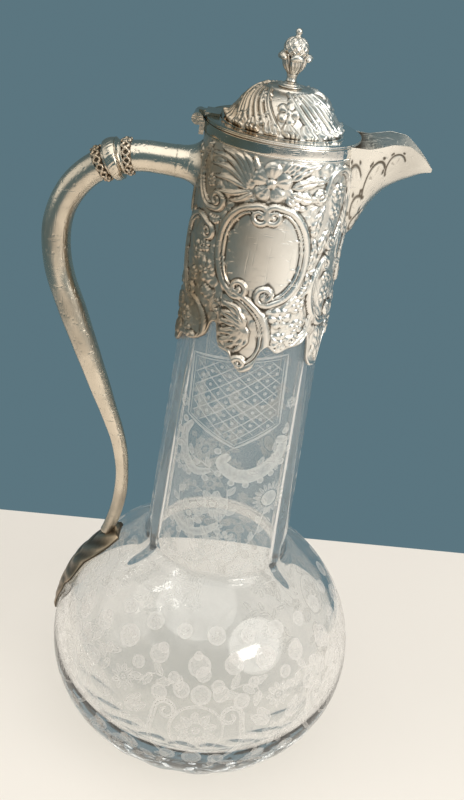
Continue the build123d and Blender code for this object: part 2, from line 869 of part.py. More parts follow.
# ---- finial -----------------------------------------------------------------------------
def finial_heights():
    """Heights of the finial's joints, from the crown of the dome up."""
    foot_top = dome_top_z + finial_foot_height
    stem_top = foot_top + finial_stem_height
    bud_seat = stem_top + bud_seat_rise
    bud_top = bud_seat + bud_height
    return foot_top, stem_top, bud_seat, bud_top


def stud_bore(low, high):
    height = high - low
    return Pos(0, 0, (low + high) / 2) * Cylinder(stud_radius + stud_clearance, height)


def finial_foot():
    foot_top = finial_heights()[0]
    step = finial_foot_height / 2
    solid = turned_polygon(
        (0, dome_top_z),
        (finial_foot_radius, dome_top_z),
        (finial_foot_radius, dome_top_z + step * 0.6),
        (finial_foot_radius * 0.75, dome_top_z + step),
        (finial_foot_radius * 0.72, dome_top_z + step * 1.5),
        (finial_stem_radius * 1.15, foot_top),
        (0, foot_top),
    )
    return solid - stud_bore(dome_top_z - 1, foot_top + 1)


def finial_stem():
    foot_top, stem_top, bud_seat, bud_top = finial_heights()
    waist = ThreePointArc(
        (finial_stem_radius * 1.15, foot_top),
        (finial_stem_radius, (foot_top + stem_top) / 2),
        (finial_stem_radius * 1.3, stem_top),
    )
    edge = Polyline(waist @ 1, (0, stem_top), (0, foot_top), waist @ 0)
    return turned(make_face([waist, edge])) - stud_bore(foot_top - 1, stem_top + 1)


def calyx_line(inset):
    """Outline of the calyx from its foot to the lip, moved inwards by inset."""
    stem_top = finial_heights()[1]
    return Spline(
        (finial_stem_radius * 1.3 - inset, stem_top),
        (calyx_radius * 0.75 - inset, stem_top + calyx_height * 0.42),
        (calyx_radius - inset, stem_top + calyx_height * 0.78),
        (calyx_radius + calyx_curl - inset * 0.4, stem_top + calyx_height - inset * 0.2),
    )


def finial_calyx():
    """Cup of leaves that curl outwards, parted by a notch between each two."""
    stem_top, bud_seat = finial_heights()[1:3]
    outer = calyx_line(0)
    inner = calyx_line(calyx_wall)
    floor_z = stem_top + stud_into_calyx + 0.6
    rim = Line(outer @ 1, inner @ 1)
    foot = Line(inner @ 0, outer @ 0)
    cup = turned(make_face([outer, rim, inner, foot]))
    cup += turned_polygon(
        (0, stem_top),
        (finial_stem_radius, stem_top),
        (calyx_radius * 0.6, floor_z),
        (0, floor_z),
    )
    notch_z = stem_top + calyx_height * 0.62
    for place in PolarLocations(calyx_radius + calyx_curl, calyx_leaves, start_angle=90):
        wedge = Triangle(c=2.6, a=4.2, b=4.2)
        cut = Plane((0, 0, 0), x_dir=(0, 1, 0), z_dir=(1, 0, 0)) * (
            Pos(0, notch_z + 2.6) * Rotation(0, 0, 180) * wedge
        )
        cup -= Rotation(0, 0, place.orientation.Z) * extrude(cut, far / 10)
    bud = finial_bud_solid()
    return cup - bud - stud_bore(stem_top - 1, stem_top + stud_into_calyx)


def finial_bud_solid():
    bud_seat = finial_heights()[2]
    middle = bud_seat + bud_height * 0.48
    low = EllipticalCenterArc((0, middle), bud_radius, middle - bud_seat, -90, arc_size=90)
    high = EllipticalCenterArc((0, middle), bud_radius, bud_height * 0.52, 0, arc_size=90)
    return turned(make_face([low, high, Line(high @ 1, low @ 0)]))


def finial_ball():
    bud_top = finial_heights()[3]
    centre = bud_top + ball_neck_height + ball_radius * 0.8
    neck = turned_polygon(
        (0, bud_top - 0.6),
        (ball_neck_radius * 1.6, bud_top - 0.6),
        (ball_neck_radius * 1.5, bud_top + 0.1),
        (ball_neck_radius, bud_top + ball_neck_height * 0.7),
        (ball_neck_radius, centre),
        (0, centre),
    )
    return neck + Pos(0, 0, centre) * Sphere(ball_radius)


def finial_bud():
    return finial_bud_solid() - finial_ball()


def washer_top_z():
    return dome_top_z - dome_wall - solder_gap


def finial_stud():
    top = finial_heights()[1] + stud_into_calyx - 0.1
    low = washer_top_z() - washer_thickness - nut_height - stud_end
    return Pos(0, 0, (top + low) / 2) * Cylinder(stud_radius, top - low)


def finial_washer():
    middle = washer_top_z() - washer_thickness / 2
    washer = Pos(0, 0, middle) * Cylinder(washer_radius, washer_thickness)
    return washer - stud_bore(middle - 2, middle + 2)


def finial_nut():
    top = washer_top_z() - washer_thickness - solder_gap
    shape = RegularPolygon(nut_across_flats / 2, 6, major_radius=False)
    nut = Pos(0, 0, top - nut_height) * extrude(shape, nut_height)
    return nut - stud_bore(top - nut_height - 1, top + 1)


nodes = (
    glass_body,
    neck_plaster,
    collar_shell,
    rim_band,
    spout,
    hinge_collar_plate,
    hinge_pin,
    handle_socket,
    handle_upper_arm,
    handle_front_gallery,
    handle_cup,
    handle_bead_ring,
    handle_rear_gallery,
    handle_scroll,
    handle_leaf_terminal,
    terminal_cement,
    lid_flange,
    lid_dome,
    lid_bezel,
    hinge_lid_plate,
    finial_foot,
    finial_stem,
    finial_calyx,
    finial_bud,
    finial_ball,
    finial_stud,
    finial_washer,
    finial_nut,
)

os.makedirs("parts", exist_ok=True)
for node in nodes:
    export_step(node(), f"parts/{node.__name__}.step")
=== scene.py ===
"""Dresses the fixed parts of a claret jug: engraved glass in chased and polished silver mounts."""
import bpy
import numpy as np
from mathutils import Matrix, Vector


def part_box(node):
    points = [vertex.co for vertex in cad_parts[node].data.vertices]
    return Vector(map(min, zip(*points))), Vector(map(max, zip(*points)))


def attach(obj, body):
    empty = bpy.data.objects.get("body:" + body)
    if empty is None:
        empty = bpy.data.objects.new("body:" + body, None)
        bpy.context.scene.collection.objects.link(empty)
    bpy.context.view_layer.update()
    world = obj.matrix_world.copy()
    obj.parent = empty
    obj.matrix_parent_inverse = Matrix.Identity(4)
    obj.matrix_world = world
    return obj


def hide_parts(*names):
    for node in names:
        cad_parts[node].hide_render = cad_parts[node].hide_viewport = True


bl_info = {
    "name": "Claret jug dresser",
    "version": (1, 0, 0),
    "blender": (4, 5, 0),
    "location": "View3D > Sidebar > Claret jug",
    "description": "Makes the engraved glass and the chased silver of a claret jug round its fixed parts",
    "category": "Object",
}

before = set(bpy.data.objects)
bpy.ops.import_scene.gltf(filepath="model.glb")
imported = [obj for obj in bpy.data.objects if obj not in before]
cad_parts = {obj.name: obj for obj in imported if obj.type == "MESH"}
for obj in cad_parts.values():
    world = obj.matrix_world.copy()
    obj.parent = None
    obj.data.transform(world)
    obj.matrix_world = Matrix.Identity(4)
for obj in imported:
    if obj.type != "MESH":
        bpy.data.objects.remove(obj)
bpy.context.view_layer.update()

MM = 0.001
FULL_TURN = 2 * np.pi


def span(node):
    """Lowest and highest corner of a fixed part, in millimetres."""
    low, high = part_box(node)
    return np.array(low) / MM, np.array(high) / MM


# ---- sizes read from the frame, in millimetres ------------------------------------------
rim_z = span("rim_band")[1][2]
band_low_z = span("rim_band")[0][2]
flange_low_z, flange_top_z = span("lid_flange")[0][2], span("lid_flange")[1][2]
flange_radius = span("lid_flange")[1][0]
dome_foot_radius = span("lid_dome")[1][0]
dome_top_z = span("lid_dome")[1][2]
glass_top_z = span("glass_body")[1][2]
globe_radius = -span("glass_body")[0][0]
leaf_low, leaf_high = span("handle_leaf_terminal")
finial_top_z = span("finial_ball")[1][2]

# ---- glass, in millimetres --------------------------------------------------------------
globe_centre_z = 48.5
globe_upper_half = 57.0
foot_radius = 26.0
globe_lower_half = globe_centre_z / np.sqrt(1 - (foot_radius / globe_radius) ** 2)
globe_wall = 4.5
floor_thickness = 8.0
neck_base_z = 88.0
neck_base_radius = 29.1
neck_top_radius = 24.7
neck_wall = 3.2
shoulder_blend = 5.0
lip_rounding = 1.2
pillar_angles = (-60.0, 60.0, 120.0, -120.0)
pillar_foot_z = 97.0
pillar_fade_z = 196.0
pillar_proud = 3.0
pillar_half_width = 4.4
# The glass lies this far inside the fixed part, and its engraving between the two.
skin_depth = 0.08
# Rows of cuts round the globe: how many, lowest and highest height, depth.
flute_rows = ((20, 5.0, 21.0, 0.7), (20, 17.0, 29.0, 0.35))

# ---- collar, in millimetres -------------------------------------------------------------
collar_top_radius = flange_radius - 0.3
collar_bottom_z = 188.0
collar_bottom_radius = 26.88
collar_wall = 0.8
solder_gap = 0.03
collar_relief_depth = 1.1
# The scrolls are drawn for a radius this much larger than the rim's.
collar_drawing_share = 1.02
# Scrolled lower edge: distance round from the front, height.
collar_edge = np.array((
    (-42.5, 188.5), (-38.2, 187.0), (-33.0, 189.5), (-29.5, 193.5), (-23.4, 194.2), (-16.2, 198.5),
    (-14.5, 204.0), (-12.5, 204.8), (-10.4, 196.4), (-6.4, 195.0), (-4.5, 192.0), (-1.2, 188.6),
    (2.0, 190.0), (4.2, 197.0), (6.5, 199.3), (10.4, 197.0), (14.0, 198.6), (19.7, 199.9),
    (22.2, 203.0), (23.8, 194.0), (27.0, 189.6), (30.8, 189.0), (32.4, 196.3), (37.1, 202.3),
    (39.5, 198.0), (42.5, 196.0),
))

# ---- lid, in millimetres ----------------------------------------------------------------
dome_relief_depth = 1.35
dome_wall = 0.8
# Plain ring round the crown of the dome, by its distance up the profile from the foot.
dome_ring = 18.0

# ---- spout, in millimetres --------------------------------------------------------------
# Stations: distance out from the rim, half width, keel below the rim, lip above the rim.
spout_stations = np.array((
    (-6.0, 13.6, 35.4, 0.0), (0.0, 12.6, 33.7, 0.0), (2.7, 12.2, 30.7, 0.1), (5.0, 11.8, 24.9, 0.7),
    (7.5, 11.3, 19.5, 1.5), (11.0, 10.5, 14.5, 2.5), (15.0, 9.0, 11.4, 2.5), (19.0, 6.4, 9.2, 0.5),
    (22.5, 3.6, 7.5, -2.3), (25.6, 0.8, 6.7, -5.5),
))
spout_wall = 0.9
spout_chasing_depth = 0.3

# ---- handle, in millimetres -------------------------------------------------------------
arm_z = 251.3
arm_run = 16.0
arm_radius = 5.35
bend_radius = 32.0
back_radius = 53.6
foot_curve_radius = 70.0
foot_curve_lean = np.radians(20.0)
tube_radius = 5.25
waist_radius = 2.65
bead_distance = 29.7
bead_width = 4.2
bead_radius = 7.45
cup_width = 1.6
gallery_width = 3.0
gallery_radius = 6.6
rear_gallery_gap = 1.0
handle_foot_z = 93.0
handle_standoff = 6.0

# ---- picture ----------------------------------------------------------------------------
lens = 45.0
sensor = 36.0
camera_distance = 339.1
camera_height = 342.5
camera_yaw = np.radians(-0.42)
camera_pitch = np.radians(27.86)
camera_roll = np.radians(9.18)
# The lamps look at the middle of the jug, in metres.
lamp_aim = (0.0, 0.0, 0.15)


# ---- curves and surfaces ----------------------------------------------------------------
def smooth_through(x, y, at):
    """Smooth curve through points: a cubic in each span, with slopes that never overshoot."""
    x, y = np.asarray(x, float), np.asarray(y, float)
    step = np.diff(x)
    slope = np.diff(y) / step
    product = slope[:-1] * slope[1:]
    total = slope[:-1] + slope[1:]
    inner = np.where(product > 0, 2 * product / np.where(total == 0, 1, total), 0)
    ends = np.concatenate([slope[:1], inner, slope[-1:]])
    k = np.clip(np.searchsorted(x, at) - 1, 0, len(step) - 1)
    h = step[k]
    t = np.clip((at - x[k]) / h, 0, 1)
    first = y[k] * (1 + 2 * t) * (1 - t) ** 2 + h * ends[k] * t * (1 - t) ** 2
    return first + y[k + 1] * t * t * (3 - 2 * t) + h * ends[k + 1] * t * t * (t - 1)


def softened(points, times=2):
    """Polyline whose corners are cut off again and again, which rounds them; the ends stay."""
    points = np.asarray(points, float)
    for _ in range(times):
        near = 0.75 * points[:-1] + 0.25 * points[1:]
        later = 0.25 * points[:-1] + 0.75 * points[1:]
        middle = np.stack([near, later], axis=1).reshape(-1, points.shape[1])
        points = np.concatenate([points[:1], middle, points[-1:]])
    return points


def resampled(points, spacing):
    """Points at even distances along a polyline."""
    points = np.asarray(points, float)
    length = np.concatenate([[0], np.cumsum(np.linalg.norm(np.diff(points, axis=0), axis=1))])
    at = np.linspace(0, length[-1], max(int(np.ceil(length[-1] / spacing)) + 1, 4))
    return np.stack([np.interp(at, length, points[:, k]) for k in range(points.shape[1])], axis=1)


def ramp(low, high, value):
    """0 below low, 1 above high and a smooth step between: 3t2 - 2t3."""
    t = np.clip((value - low) / (high - low), 0, 1)
    return t * t * (3 - 2 * t)


def bump(distance, width):
    """Round ridge across a line: 1 on the line, 0 from the width on, a half circle between."""
    return np.sqrt(np.clip(1 - (distance / width) ** 2, 0, 1))


def recess_of(height, reach=8, wrap=True):
    """How deep each point of a height grid lies below the mean of its neighbours."""
    mean = height
    for _ in range(reach):
        padded = np.pad(mean, ((1, 1), (0, 0)), mode="edge")
        across = np.pad(mean, ((0, 0), (1, 1)), mode="wrap" if wrap else "edge")
        mean = (padded[:-2] + padded[2:] + across[:, :-2] + across[:, 2:] + 4 * mean) / 8
    return mean - height


def quads(rows, columns, wrap_rows, wrap_columns, offset=0, turned_over=False):
    """Faces between the neighbours of a grid of points, as rows of four indices."""
    index = np.arange(rows * columns).reshape(rows, columns) + offset
    if wrap_columns:
        index = np.concatenate([index, index[:, :1]], axis=1)
    if wrap_rows:
        index = np.concatenate([index, index[:1]], axis=0)
    faces = np.stack([index[:-1, :-1], index[:-1, 1:], index[1:, 1:], index[1:, :-1]], axis=-1)
    faces = faces.reshape(-1, 4)
    return faces[:, ::-1] if turned_over else faces


def strip(first, second):
    """Faces between two rows of as many point indices."""
    return np.stack([first[:-1], first[1:], second[1:], second[:-1]], axis=-1)


def build(name, points, faces, values, material, body, slot, *nodes):
    """Puts points in millimetres, faces and point values into a mesh that stands for nodes."""
    corners = points.reshape(-1, 3)
    groups = [np.asarray(group) for group in faces if len(group)]
    volume = 0.0
    for group in groups:
        for k in range(1, group.shape[1] - 1):
            a, b, c = corners[group[:, 0]], corners[group[:, k]], corners[group[:, k + 1]]
            volume += np.einsum("ij,ij->", a, np.cross(b, c))
    if volume < 0:
        groups = [group[:, ::-1] for group in groups]
    mesh = bpy.data.meshes.new(name)
    mesh.from_pydata((corners * MM).tolist(), [], [f for group in groups for f in group.tolist()])
    for key, value in values.items():
        attribute = mesh.attributes.new(key, "FLOAT", "POINT")
        attribute.data.foreach_set("value", np.asarray(value, np.float32).ravel())
    mesh.shade_smooth()
    mesh.materials.append(material)
    piece = bpy.data.objects.new(name, mesh)
    bpy.context.scene.collection.objects.link(piece)
    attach(piece, body)
    if nodes:
        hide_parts(*nodes)


def skin(grid, poles=None, ring=False):
    """Closed surface over rings of points: rows wrap, or each end closes on one point."""
    rows, columns = grid.shape[:2]
    faces = [quads(rows, columns, ring, True)]
    points = grid.reshape(-1, 3)
    if not ring:
        first, last = (grid[0].mean(0), grid[-1].mean(0)) if poles is None else poles
        points = np.concatenate([points, [first, last]])
        low = np.arange(columns)
        high = low + (rows - 1) * columns
        pole = rows * columns
        faces.append(np.stack([np.roll(low, -1), low, np.full(columns, pole)], axis=-1))
        faces.append(np.stack([high, np.roll(high, -1), np.full(columns, pole + 1)], axis=-1))
    return points, faces


def skin_values(value):
    """Values of a grid of points as skin lays them out, the poles taking their ring's mean."""
    return np.concatenate([value.ravel(), [value[0].mean(), value[-1].mean()]])


def slab(outer, inner, wrap_columns=False):
    """Closed sheet between two grids of as many points, with its edges bridged."""
    rows, columns = outer.shape[:2]
    count = rows * columns
    index = np.arange(count).reshape(rows, columns)
    faces = [
        quads(rows, columns, False, wrap_columns),
        quads(rows, columns, False, wrap_columns, count, True),
    ]
    low, high = index[0], index[-1]
    if wrap_columns:
        low, high = np.append(low, low[0]), np.append(high, high[0])
    faces.append(strip(low, low + count)[:, ::-1])
    faces.append(strip(high, high + count))
    if not wrap_columns:
        faces.append(strip(index[:, 0], index[:, 0] + count))
        faces.append(strip(index[:, -1], index[:, -1] + count)[:, ::-1])
    return np.concatenate([outer.reshape(-1, 3), inner.reshape(-1, 3)]), faces


def outward(profile):
    """Unit normals of a profile of radius and height, to the right of its run."""
    tangent = np.gradient(profile, axis=0)
    tangent /= np.linalg.norm(tangent, axis=1, keepdims=True)
    return np.stack([tangent[:, 1], -tangent[:, 0]], axis=1)


def round_axis(radius, angles, height):
    """Points round the axis: an angle counts from the front towards the spout."""
    return np.stack([radius * np.sin(angles), -radius * np.cos(angles), height + 0 * angles], axis=-1)


def turned_grid(profile, angles, lift=0.0):
    """Points of a profile turned round the axis and lifted along its normals."""
    normal = outward(profile)
    radius = profile[:, :1] + normal[:, :1] * lift
    return round_axis(radius, angles, profile[:, 1:] + normal[:, 1:] * lift)


def ring_angles(count):
    """Even angles round the axis, as one row."""
    return (np.arange(count) * FULL_TURN / count - np.pi)[None, :]


def wrapped(angles):
    """Angles brought to between minus half a turn and half a turn."""
    return np.angle(np.exp(1j * angles))


# ---- ornament, drawn flat in millimetres ------------------------------------------------
def flowing(points, spacing=0.5):
    """Smooth line through a few points, sampled at even distances."""
    points = np.asarray(points, float)
    before, after = 2 * points[0] - points[1], 2 * points[-1] - points[-2]
    p = np.concatenate([[before], points, [after]])
    t = np.linspace(0, 1, 13)[:-1, None]
    pieces = []
    for a, b, c, d in zip(p[:-3], p[1:-2], p[2:-1], p[3:]):
        cubic = -a + 3 * b - 3 * c + d
        pieces.append(0.5 * (2 * b + (c - a) * t + (2 * a - 5 * b + 4 * c - d) * t ** 2 + cubic * t ** 3))
    return resampled(np.concatenate(pieces + [p[-2:-1]]), spacing)


def curled(line, radius, turns, hand):
    """Line carried on at its end into a spiral that winds in to the left (1) or right (-1)."""
    ahead = line[-1] - line[-2]
    heading = np.arctan2(ahead[1], ahead[0])
    steps = np.arange(1, int(26 * turns) + 1) / int(26 * turns)
    centre = line[-1] + hand * radius * np.array((-np.sin(heading), np.cos(heading)))
    angle = heading - hand * np.pi / 2 + hand * FULL_TURN * turns * steps
    reach = radius * (1 - 0.8 * steps)
    spiral = centre + np.stack([np.cos(angle), np.sin(angle)], axis=1) * reach[:, None]
    return np.concatenate([line, spiral])


def bowed(root, tip, bow):
    """Line from a root to a tip that bows to the left by a share of its length."""
    root, tip = np.array(root, float), np.array(tip, float)
    reach = tip - root
    return flowing([root, root + reach * 0.5 + np.array((-reach[1], reach[0])) * bow, tip], 0.7)


def along(line, a, z):
    """Distance of each point from a line, its share of the way along, and its side."""
    best = np.full(a.shape, np.inf)
    share = np.zeros(a.shape)
    side = np.zeros(a.shape)
    count = len(line) - 1
    for k in range(count):
        start, step = line[k], line[k + 1] - line[k]
        t = np.clip(((a - start[0]) * step[0] + (z - start[1]) * step[1]) / (step @ step), 0, 1)
        dx, dz = a - start[0] - t * step[0], z - start[1] - t * step[1]
        distance = np.hypot(dx, dz)
        nearer = distance < best
        best = np.where(nearer, distance, best)
        share = np.where(nearer, (k + t) / count, share)
        side = np.where(nearer, np.sign(step[0] * dz - step[1] * dx), side)
    return best, share, side


class Relief:
    """Height over a developed surface, to which ornament is added as the highest of all."""

    def __init__(self, a, z):
        self.a, self.z = a, z
        self.height = np.zeros(a.shape)

    def near(self, line, reach):
        """Points of the surface within reach of a line's box."""
        low, high = line.min(0) - reach, line.max(0) + reach
        inside = (self.a > low[0]) & (self.a < high[0]) & (self.z > low[1]) & (self.z < high[1])
        return np.nonzero(inside)

    def add(self, where, height):
        self.height[where] = np.maximum(self.height[where], height)

    def scroll(self, line, width, height, hand):
        """Raised scroll along a line: a broad roll, and a bead along the side it curls to."""
        where = self.near(line, width)
        if not len(where[0]):
            return
        distance, share, side = along(line, self.a[where], self.z[where])
        reach = width * (0.5 + 0.5 * np.sin(np.pi * np.clip(share, 0, 1)) ** 0.7)
        x = distance / reach * side * hand
        roll = bump(x + 0.24, 0.74)
        bead = 0.8 * bump(x - 0.74, 0.26)
        self.add(where, height * np.maximum(roll, bead))

    def volute_scroll(self, points, width, height, first, last):
        """Scroll through points; an end with a radius winds in to the left (1) or right (-1)."""
        line = flowing(points)
        hand = last[1] or -first[1]
        turns, boss = 1.35, 0.36
        if last[0]:
            line = curled(line, last[0], turns, last[1])
            self.knob(line[-1], boss * last[0], height)
        if first[0]:
            line = curled(line[::-1], first[0], turns, first[1])[::-1]
            self.knob(line[0], boss * first[0], height)
        self.scroll(line, width, height, hand)

    def knob(self, centre, radius, height):
        """Round boss."""
        where = self.near(np.asarray(centre)[None], radius)
        distance = np.hypot(self.a[where] - centre[0], self.z[where] - centre[1])
        self.add(where, height * bump(distance, radius))

    def blade(self, root, tip, bow, width, height):
        """Long narrow leaf with a sharp ridge along its middle."""
        line = bowed(root, tip, bow)
        where = self.near(line, width)
        if not len(where[0]):
            return
        distance, share, _ = along(line, self.a[where], self.z[where])
        edge = width * np.sin(np.pi * np.clip(0.06 + 0.94 * share, 0, 1) ** 0.75) ** 0.8 + 1e-6
        self.add(where, height * np.clip(1 - distance / edge, 0, 1) ** 0.75 * (0.6 + 0.4 * share))

    def leaf(self, root, tip, bow, width, lobes, height):
        """Pointed leaf with lobed edges: domed across, with slanted flutes and a middle vein."""
        line = bowed(root, tip, bow)
        where = self.near(line, width * 1.1)
        if not len(where[0]):
            return
        distance, share, _ = along(line, self.a[where], self.z[where])
        lobe = 0.74 + 0.26 * np.abs(np.sin(np.pi * lobes * share))
        edge = width * np.sin(np.pi * np.clip(share, 0, 1) ** 0.7) ** 0.8 * lobe + 1e-6
        x = distance / edge
        flute = 0.5 + 0.5 * np.cos(FULL_TURN * (lobes * share + 0.7 * x))
        body = np.clip(1 - x * x, 0, 1) ** 0.5 * (0.80 + 0.20 * flute)
        vein = 0.4 * np.exp(-(distance / 0.3) ** 2)
        self.add(where, height * (body - vein * (x < 1)))

    def flower(self, centre, radius, petals, turn, height):
        """Open flower: cupped petals parted by grooves, and a round boss in the middle."""
        centre = np.array(centre, float)
        where = self.near(centre[None, :], radius)
        da, dz = self.a[where] - centre[0], self.z[where] - centre[1]
        r = np.hypot(da, dz)
        angle = np.arctan2(dz, da) - turn
        lobe = np.abs(np.cos(petals * angle / 2))
        edge = radius * (0.66 + 0.34 * lobe ** 0.5)
        x = r / edge
        crease = 1 - 0.10 * np.cos(3 * petals * angle)
        petal = np.clip(1 - x ** 6, 0, 1) * (0.2 + 0.8 * lobe ** 0.45) * (0.35 + 0.65 * x ** 1.3) * crease
        boss = 0.95 * bump(r, 0.25 * radius)
        self.add(where, height * np.maximum(petal, boss))


# ---- materials --------------------------------------------------------------------------
class Value:
    """A shader socket whose sums and products add Math nodes."""

    def __init__(self, paint, socket):
        self.paint, self.socket = paint, socket

    def maths(self, operation, *others):
        """One Math node on this value and others; a number or a value may be first."""
        return self.paint.maths(operation, self, *others)

    def __add__(self, other):
        return self.maths("ADD", other)

    def __sub__(self, other):
        return self.maths("SUBTRACT", other)

    def __mul__(self, other):
        return self.maths("MULTIPLY", other)

    def __pow__(self, other):
        return self.maths("POWER", other)

    def __rsub__(self, other):
        return self.paint.maths("SUBTRACT", other, self)

    __radd__ = __add__

    def between(self, low, high):
        """0 below low, 1 above high and a smooth step between."""
        settings = {"interpolation_type": "SMOOTHSTEP"}
        sockets = {"Value": self, "From Min": low, "From Max": high}
        return self.paint.value("ShaderNodeMapRange", settings, sockets, "Result")


class Paint:
    """The nodes of one material, or of the world."""

    def __init__(self, holder):
        holder.use_nodes = True
        self.holder, self.tree = holder, holder.node_tree
        self.tree.nodes.clear()

    @classmethod
    def of_material(cls, name):
        """Empty nodes of a new material."""
        return cls(bpy.data.materials.new(name))

    def node(self, kind, settings=None, sockets=None):
        """A node of a type, with its settings set first and then its sockets' values or links."""
        node = self.tree.nodes.new(kind)
        for key, setting in (settings or {}).items():
            setattr(node, key, setting)
        for key, given in (sockets or {}).items():
            named = [s for s in node.inputs if s.identifier == key or s.name == key]
            socket = node.inputs[key] if isinstance(key, int) else named[0]
            if isinstance(given, Value):
                given = given.socket
            if isinstance(given, bpy.types.NodeSocket):
                self.tree.links.new(given, socket)
            else:
                socket.default_value = given
        return node

    def value(self, kind, settings=None, sockets=None, output=0):
        """A node's output, to be used in sums."""
        return Value(self, self.node(kind, settings, sockets).outputs[output])

    def maths(self, operation, *operands):
        return self.value("ShaderNodeMath", {"operation": operation}, dict(enumerate(operands)))

    def attribute(self, name):
        return self.value("ShaderNodeAttribute", {"attribute_name": name}, None, "Fac")

    def place(self, scale=(1, 1, 1), turn=(0, 0, 0)):
        """Object coordinates, stretched and turned."""
        here = self.node("ShaderNodeTexCoord").outputs["Object"]
        sockets = {"Vector": here, "Scale": scale, "Rotation": turn}
        return self.node("ShaderNodeMapping", None, sockets).outputs["Vector"]

    def noise(self, scale, detail=3.0, roughness=0.55, place=None):
        """Noise of so many grains a metre."""
        sockets = {"Scale": scale, "Detail": detail, "Roughness": roughness}
        sockets["Vector"] = self.place() if place is None else place
        return self.value("ShaderNodeTexNoise", None, sockets, "Fac")

    def blend(self, factor, first, second):
        """Colour between two colours."""
        sockets = {"Factor_Float": factor, "A_Color": first, "B_Color": second}
        mix = self.node("ShaderNodeMix", {"data_type": "RGBA"}, sockets)
        return next(output for output in mix.outputs if output.identifier == "Result_Color")

    def bumped(self, height, distance):
        """Normal tilted by a height, which is as deep in metres as the distance where it is 1."""
        return self.node("ShaderNodeBump", None, {"Height": height, "Distance": distance}).outputs["Normal"]

    def position(self, axis):
        """Place along X, Y or Z, in metres."""
        return self.value("ShaderNodeSeparateXYZ", None, {"Vector": self.place()}, axis)

    def mixed(self, factor, first, second):
        """Surface between two surfaces."""
        return self.node("ShaderNodeMixShader", None, {0: factor, 1: first, 2: second}).outputs["Shader"]

    def shader(self, sockets):
        return self.node("ShaderNodeBsdfPrincipled", None, sockets).outputs["BSDF"]

    def finish(self, surface):
        self.node("ShaderNodeOutputMaterial", None, {"Surface": surface})
        return self.holder


def shade(colour):
    """Colour with its alpha, for a socket."""
    return (*tuple(colour)[:3], 1.0)


def silver(name, bright, roughness, tarnish_share, scratches, pits, side_shade_share):
    """Silver with dark recesses, cloudy tarnish, fine scratches and pits.

    A point attribute darkens hollows, and also the painted shadow laid into it on the handle.
    Cloudy noise mixes tarnish into the open surface, long thin noise gives scratches, and small
    cells give pits. A brown painted shade lies over the side towards the handle, away from the key lamp.
    """
    paint = Paint.of_material(name)
    recess = paint.attribute("recess")
    clouds = paint.noise(38.0, 4.0).between(0.42, 0.72)
    fine = paint.noise(620.0, 3.0)
    # Patina in the hollows, and the painted shadow that the handle's tubes lay into the same attribute.
    hollow = (recess * 4.2 + (fine - 0.5) * 0.3).between(0.15, 1.0) * 0.92
    # Painted shade: brown over the side towards the handle, away from the key lamp, mottled by the clouds.
    side_shade = (0.014 - paint.position("X")).between(0.0, 0.030) * (0.70 + clouds * 0.22) * side_shade_share
    tarnish_and_shade = hollow.maths("MAXIMUM", clouds * tarnish_share)
    open_surface = paint.blend(side_shade, bright, colour_of("side_shade"))
    colour = paint.blend(tarnish_and_shade, open_surface, colour_of("patina_and_shade"))
    first = paint.noise(900.0, 2.0, 0.6, paint.place((1.0, 1.0, 0.06), (0.5, 0.4, 0.9)))
    second = paint.noise(900.0, 2.0, 0.6, paint.place((0.05, 1.0, 1.0), (0.3, 0.9, 0.2)))
    scratched = first.maths("MAXIMUM", second).between(0.6, 0.78)
    rough = roughness + tarnish_and_shade * 0.22 + scratched * scratches * 0.3 + (clouds - 0.5) * 0.06
    height = fine * 0.25 + scratched * -scratches
    if pits:
        sockets = {"Scale": 420.0, "Vector": paint.place()}
        cells = paint.value("ShaderNodeTexVoronoi", None, sockets, "Distance")
        height = height + (cells.between(0.0, 0.32) - 1.0) * pits
    surface = paint.shader({
        "Base Color": colour,
        "Metallic": 1.0,
        "Roughness": rough,
        "Normal": paint.bumped(height, 0.00012),
    })
    return paint.finish(surface)


# ---- settings that a user may change ----------------------------------------------------
def colour_property(name, description, default):
    return bpy.props.FloatVectorProperty(
        name=name, description=description, default=default, subtype="COLOR", size=3, min=0, max=1
    )


class JugColours(bpy.types.PropertyGroup):
    """Colours of the finishes."""

    silver: colour_property("Silver", "Open surface of the silver", (0.93, 0.895, 0.835))
    polished: colour_property("Polished silver", "Rim band and lid edge", (0.93, 0.91, 0.87))
    # Brown painted shade over the silver's side towards the handle.
    side_shade: colour_property("Painted_shade", "Brown bloom on the silver next to the handle", (0.49, 0.345, 0.205))
    # Also the colour of the painted shadow on the handle's tubes.
    patina_and_shade: colour_property("Patina", "Recesses of the chased work", (0.085, 0.064, 0.042))
    satin: colour_property("Satin silver", "Spout", (0.80, 0.765, 0.70))
    worn: colour_property("Worn silver", "Tubes, cup and knop of the handle", (0.80, 0.72, 0.60))
    glass: colour_property("Glass", "Faint tint of the glass", (0.985, 0.985, 0.98))
    # Blue-grey matt layer of painted shade that darkens the neck and the foot.
    glass_shade: colour_property("Painted_glass_shade", "Thin haze on the neck and under the globe", (0.40, 0.44, 0.45))
    frost: colour_property("Frost", "Engraved parts of the globe", (0.7998, 0.77655, 0.744))
    # Painted greyer than the globe's frost, as shade on the neck.
    shaded_neck_frost: colour_property("Neck frost", "Engraved parts of the neck", (0.66, 0.67, 0.65))
    plaster: colour_property("Plaster", "Bedding inside the collar", (0.62, 0.58, 0.50))
    floor: colour_property("Floor", "Plain floor", (0.90, 0.868, 0.82))
    backdrop: colour_property("Backdrop", "Plain backdrop", (0.105, 0.180, 0.215))
    even_light: colour_property("Even light", "Light from all round", (0.47, 0.46, 0.44))


def depth_property(name, description, millimetres):
    return bpy.props.FloatProperty(
        name=name, description=description, default=millimetres * MM, min=0, max=3 * MM,
        subtype="DISTANCE", unit="LENGTH",
    )


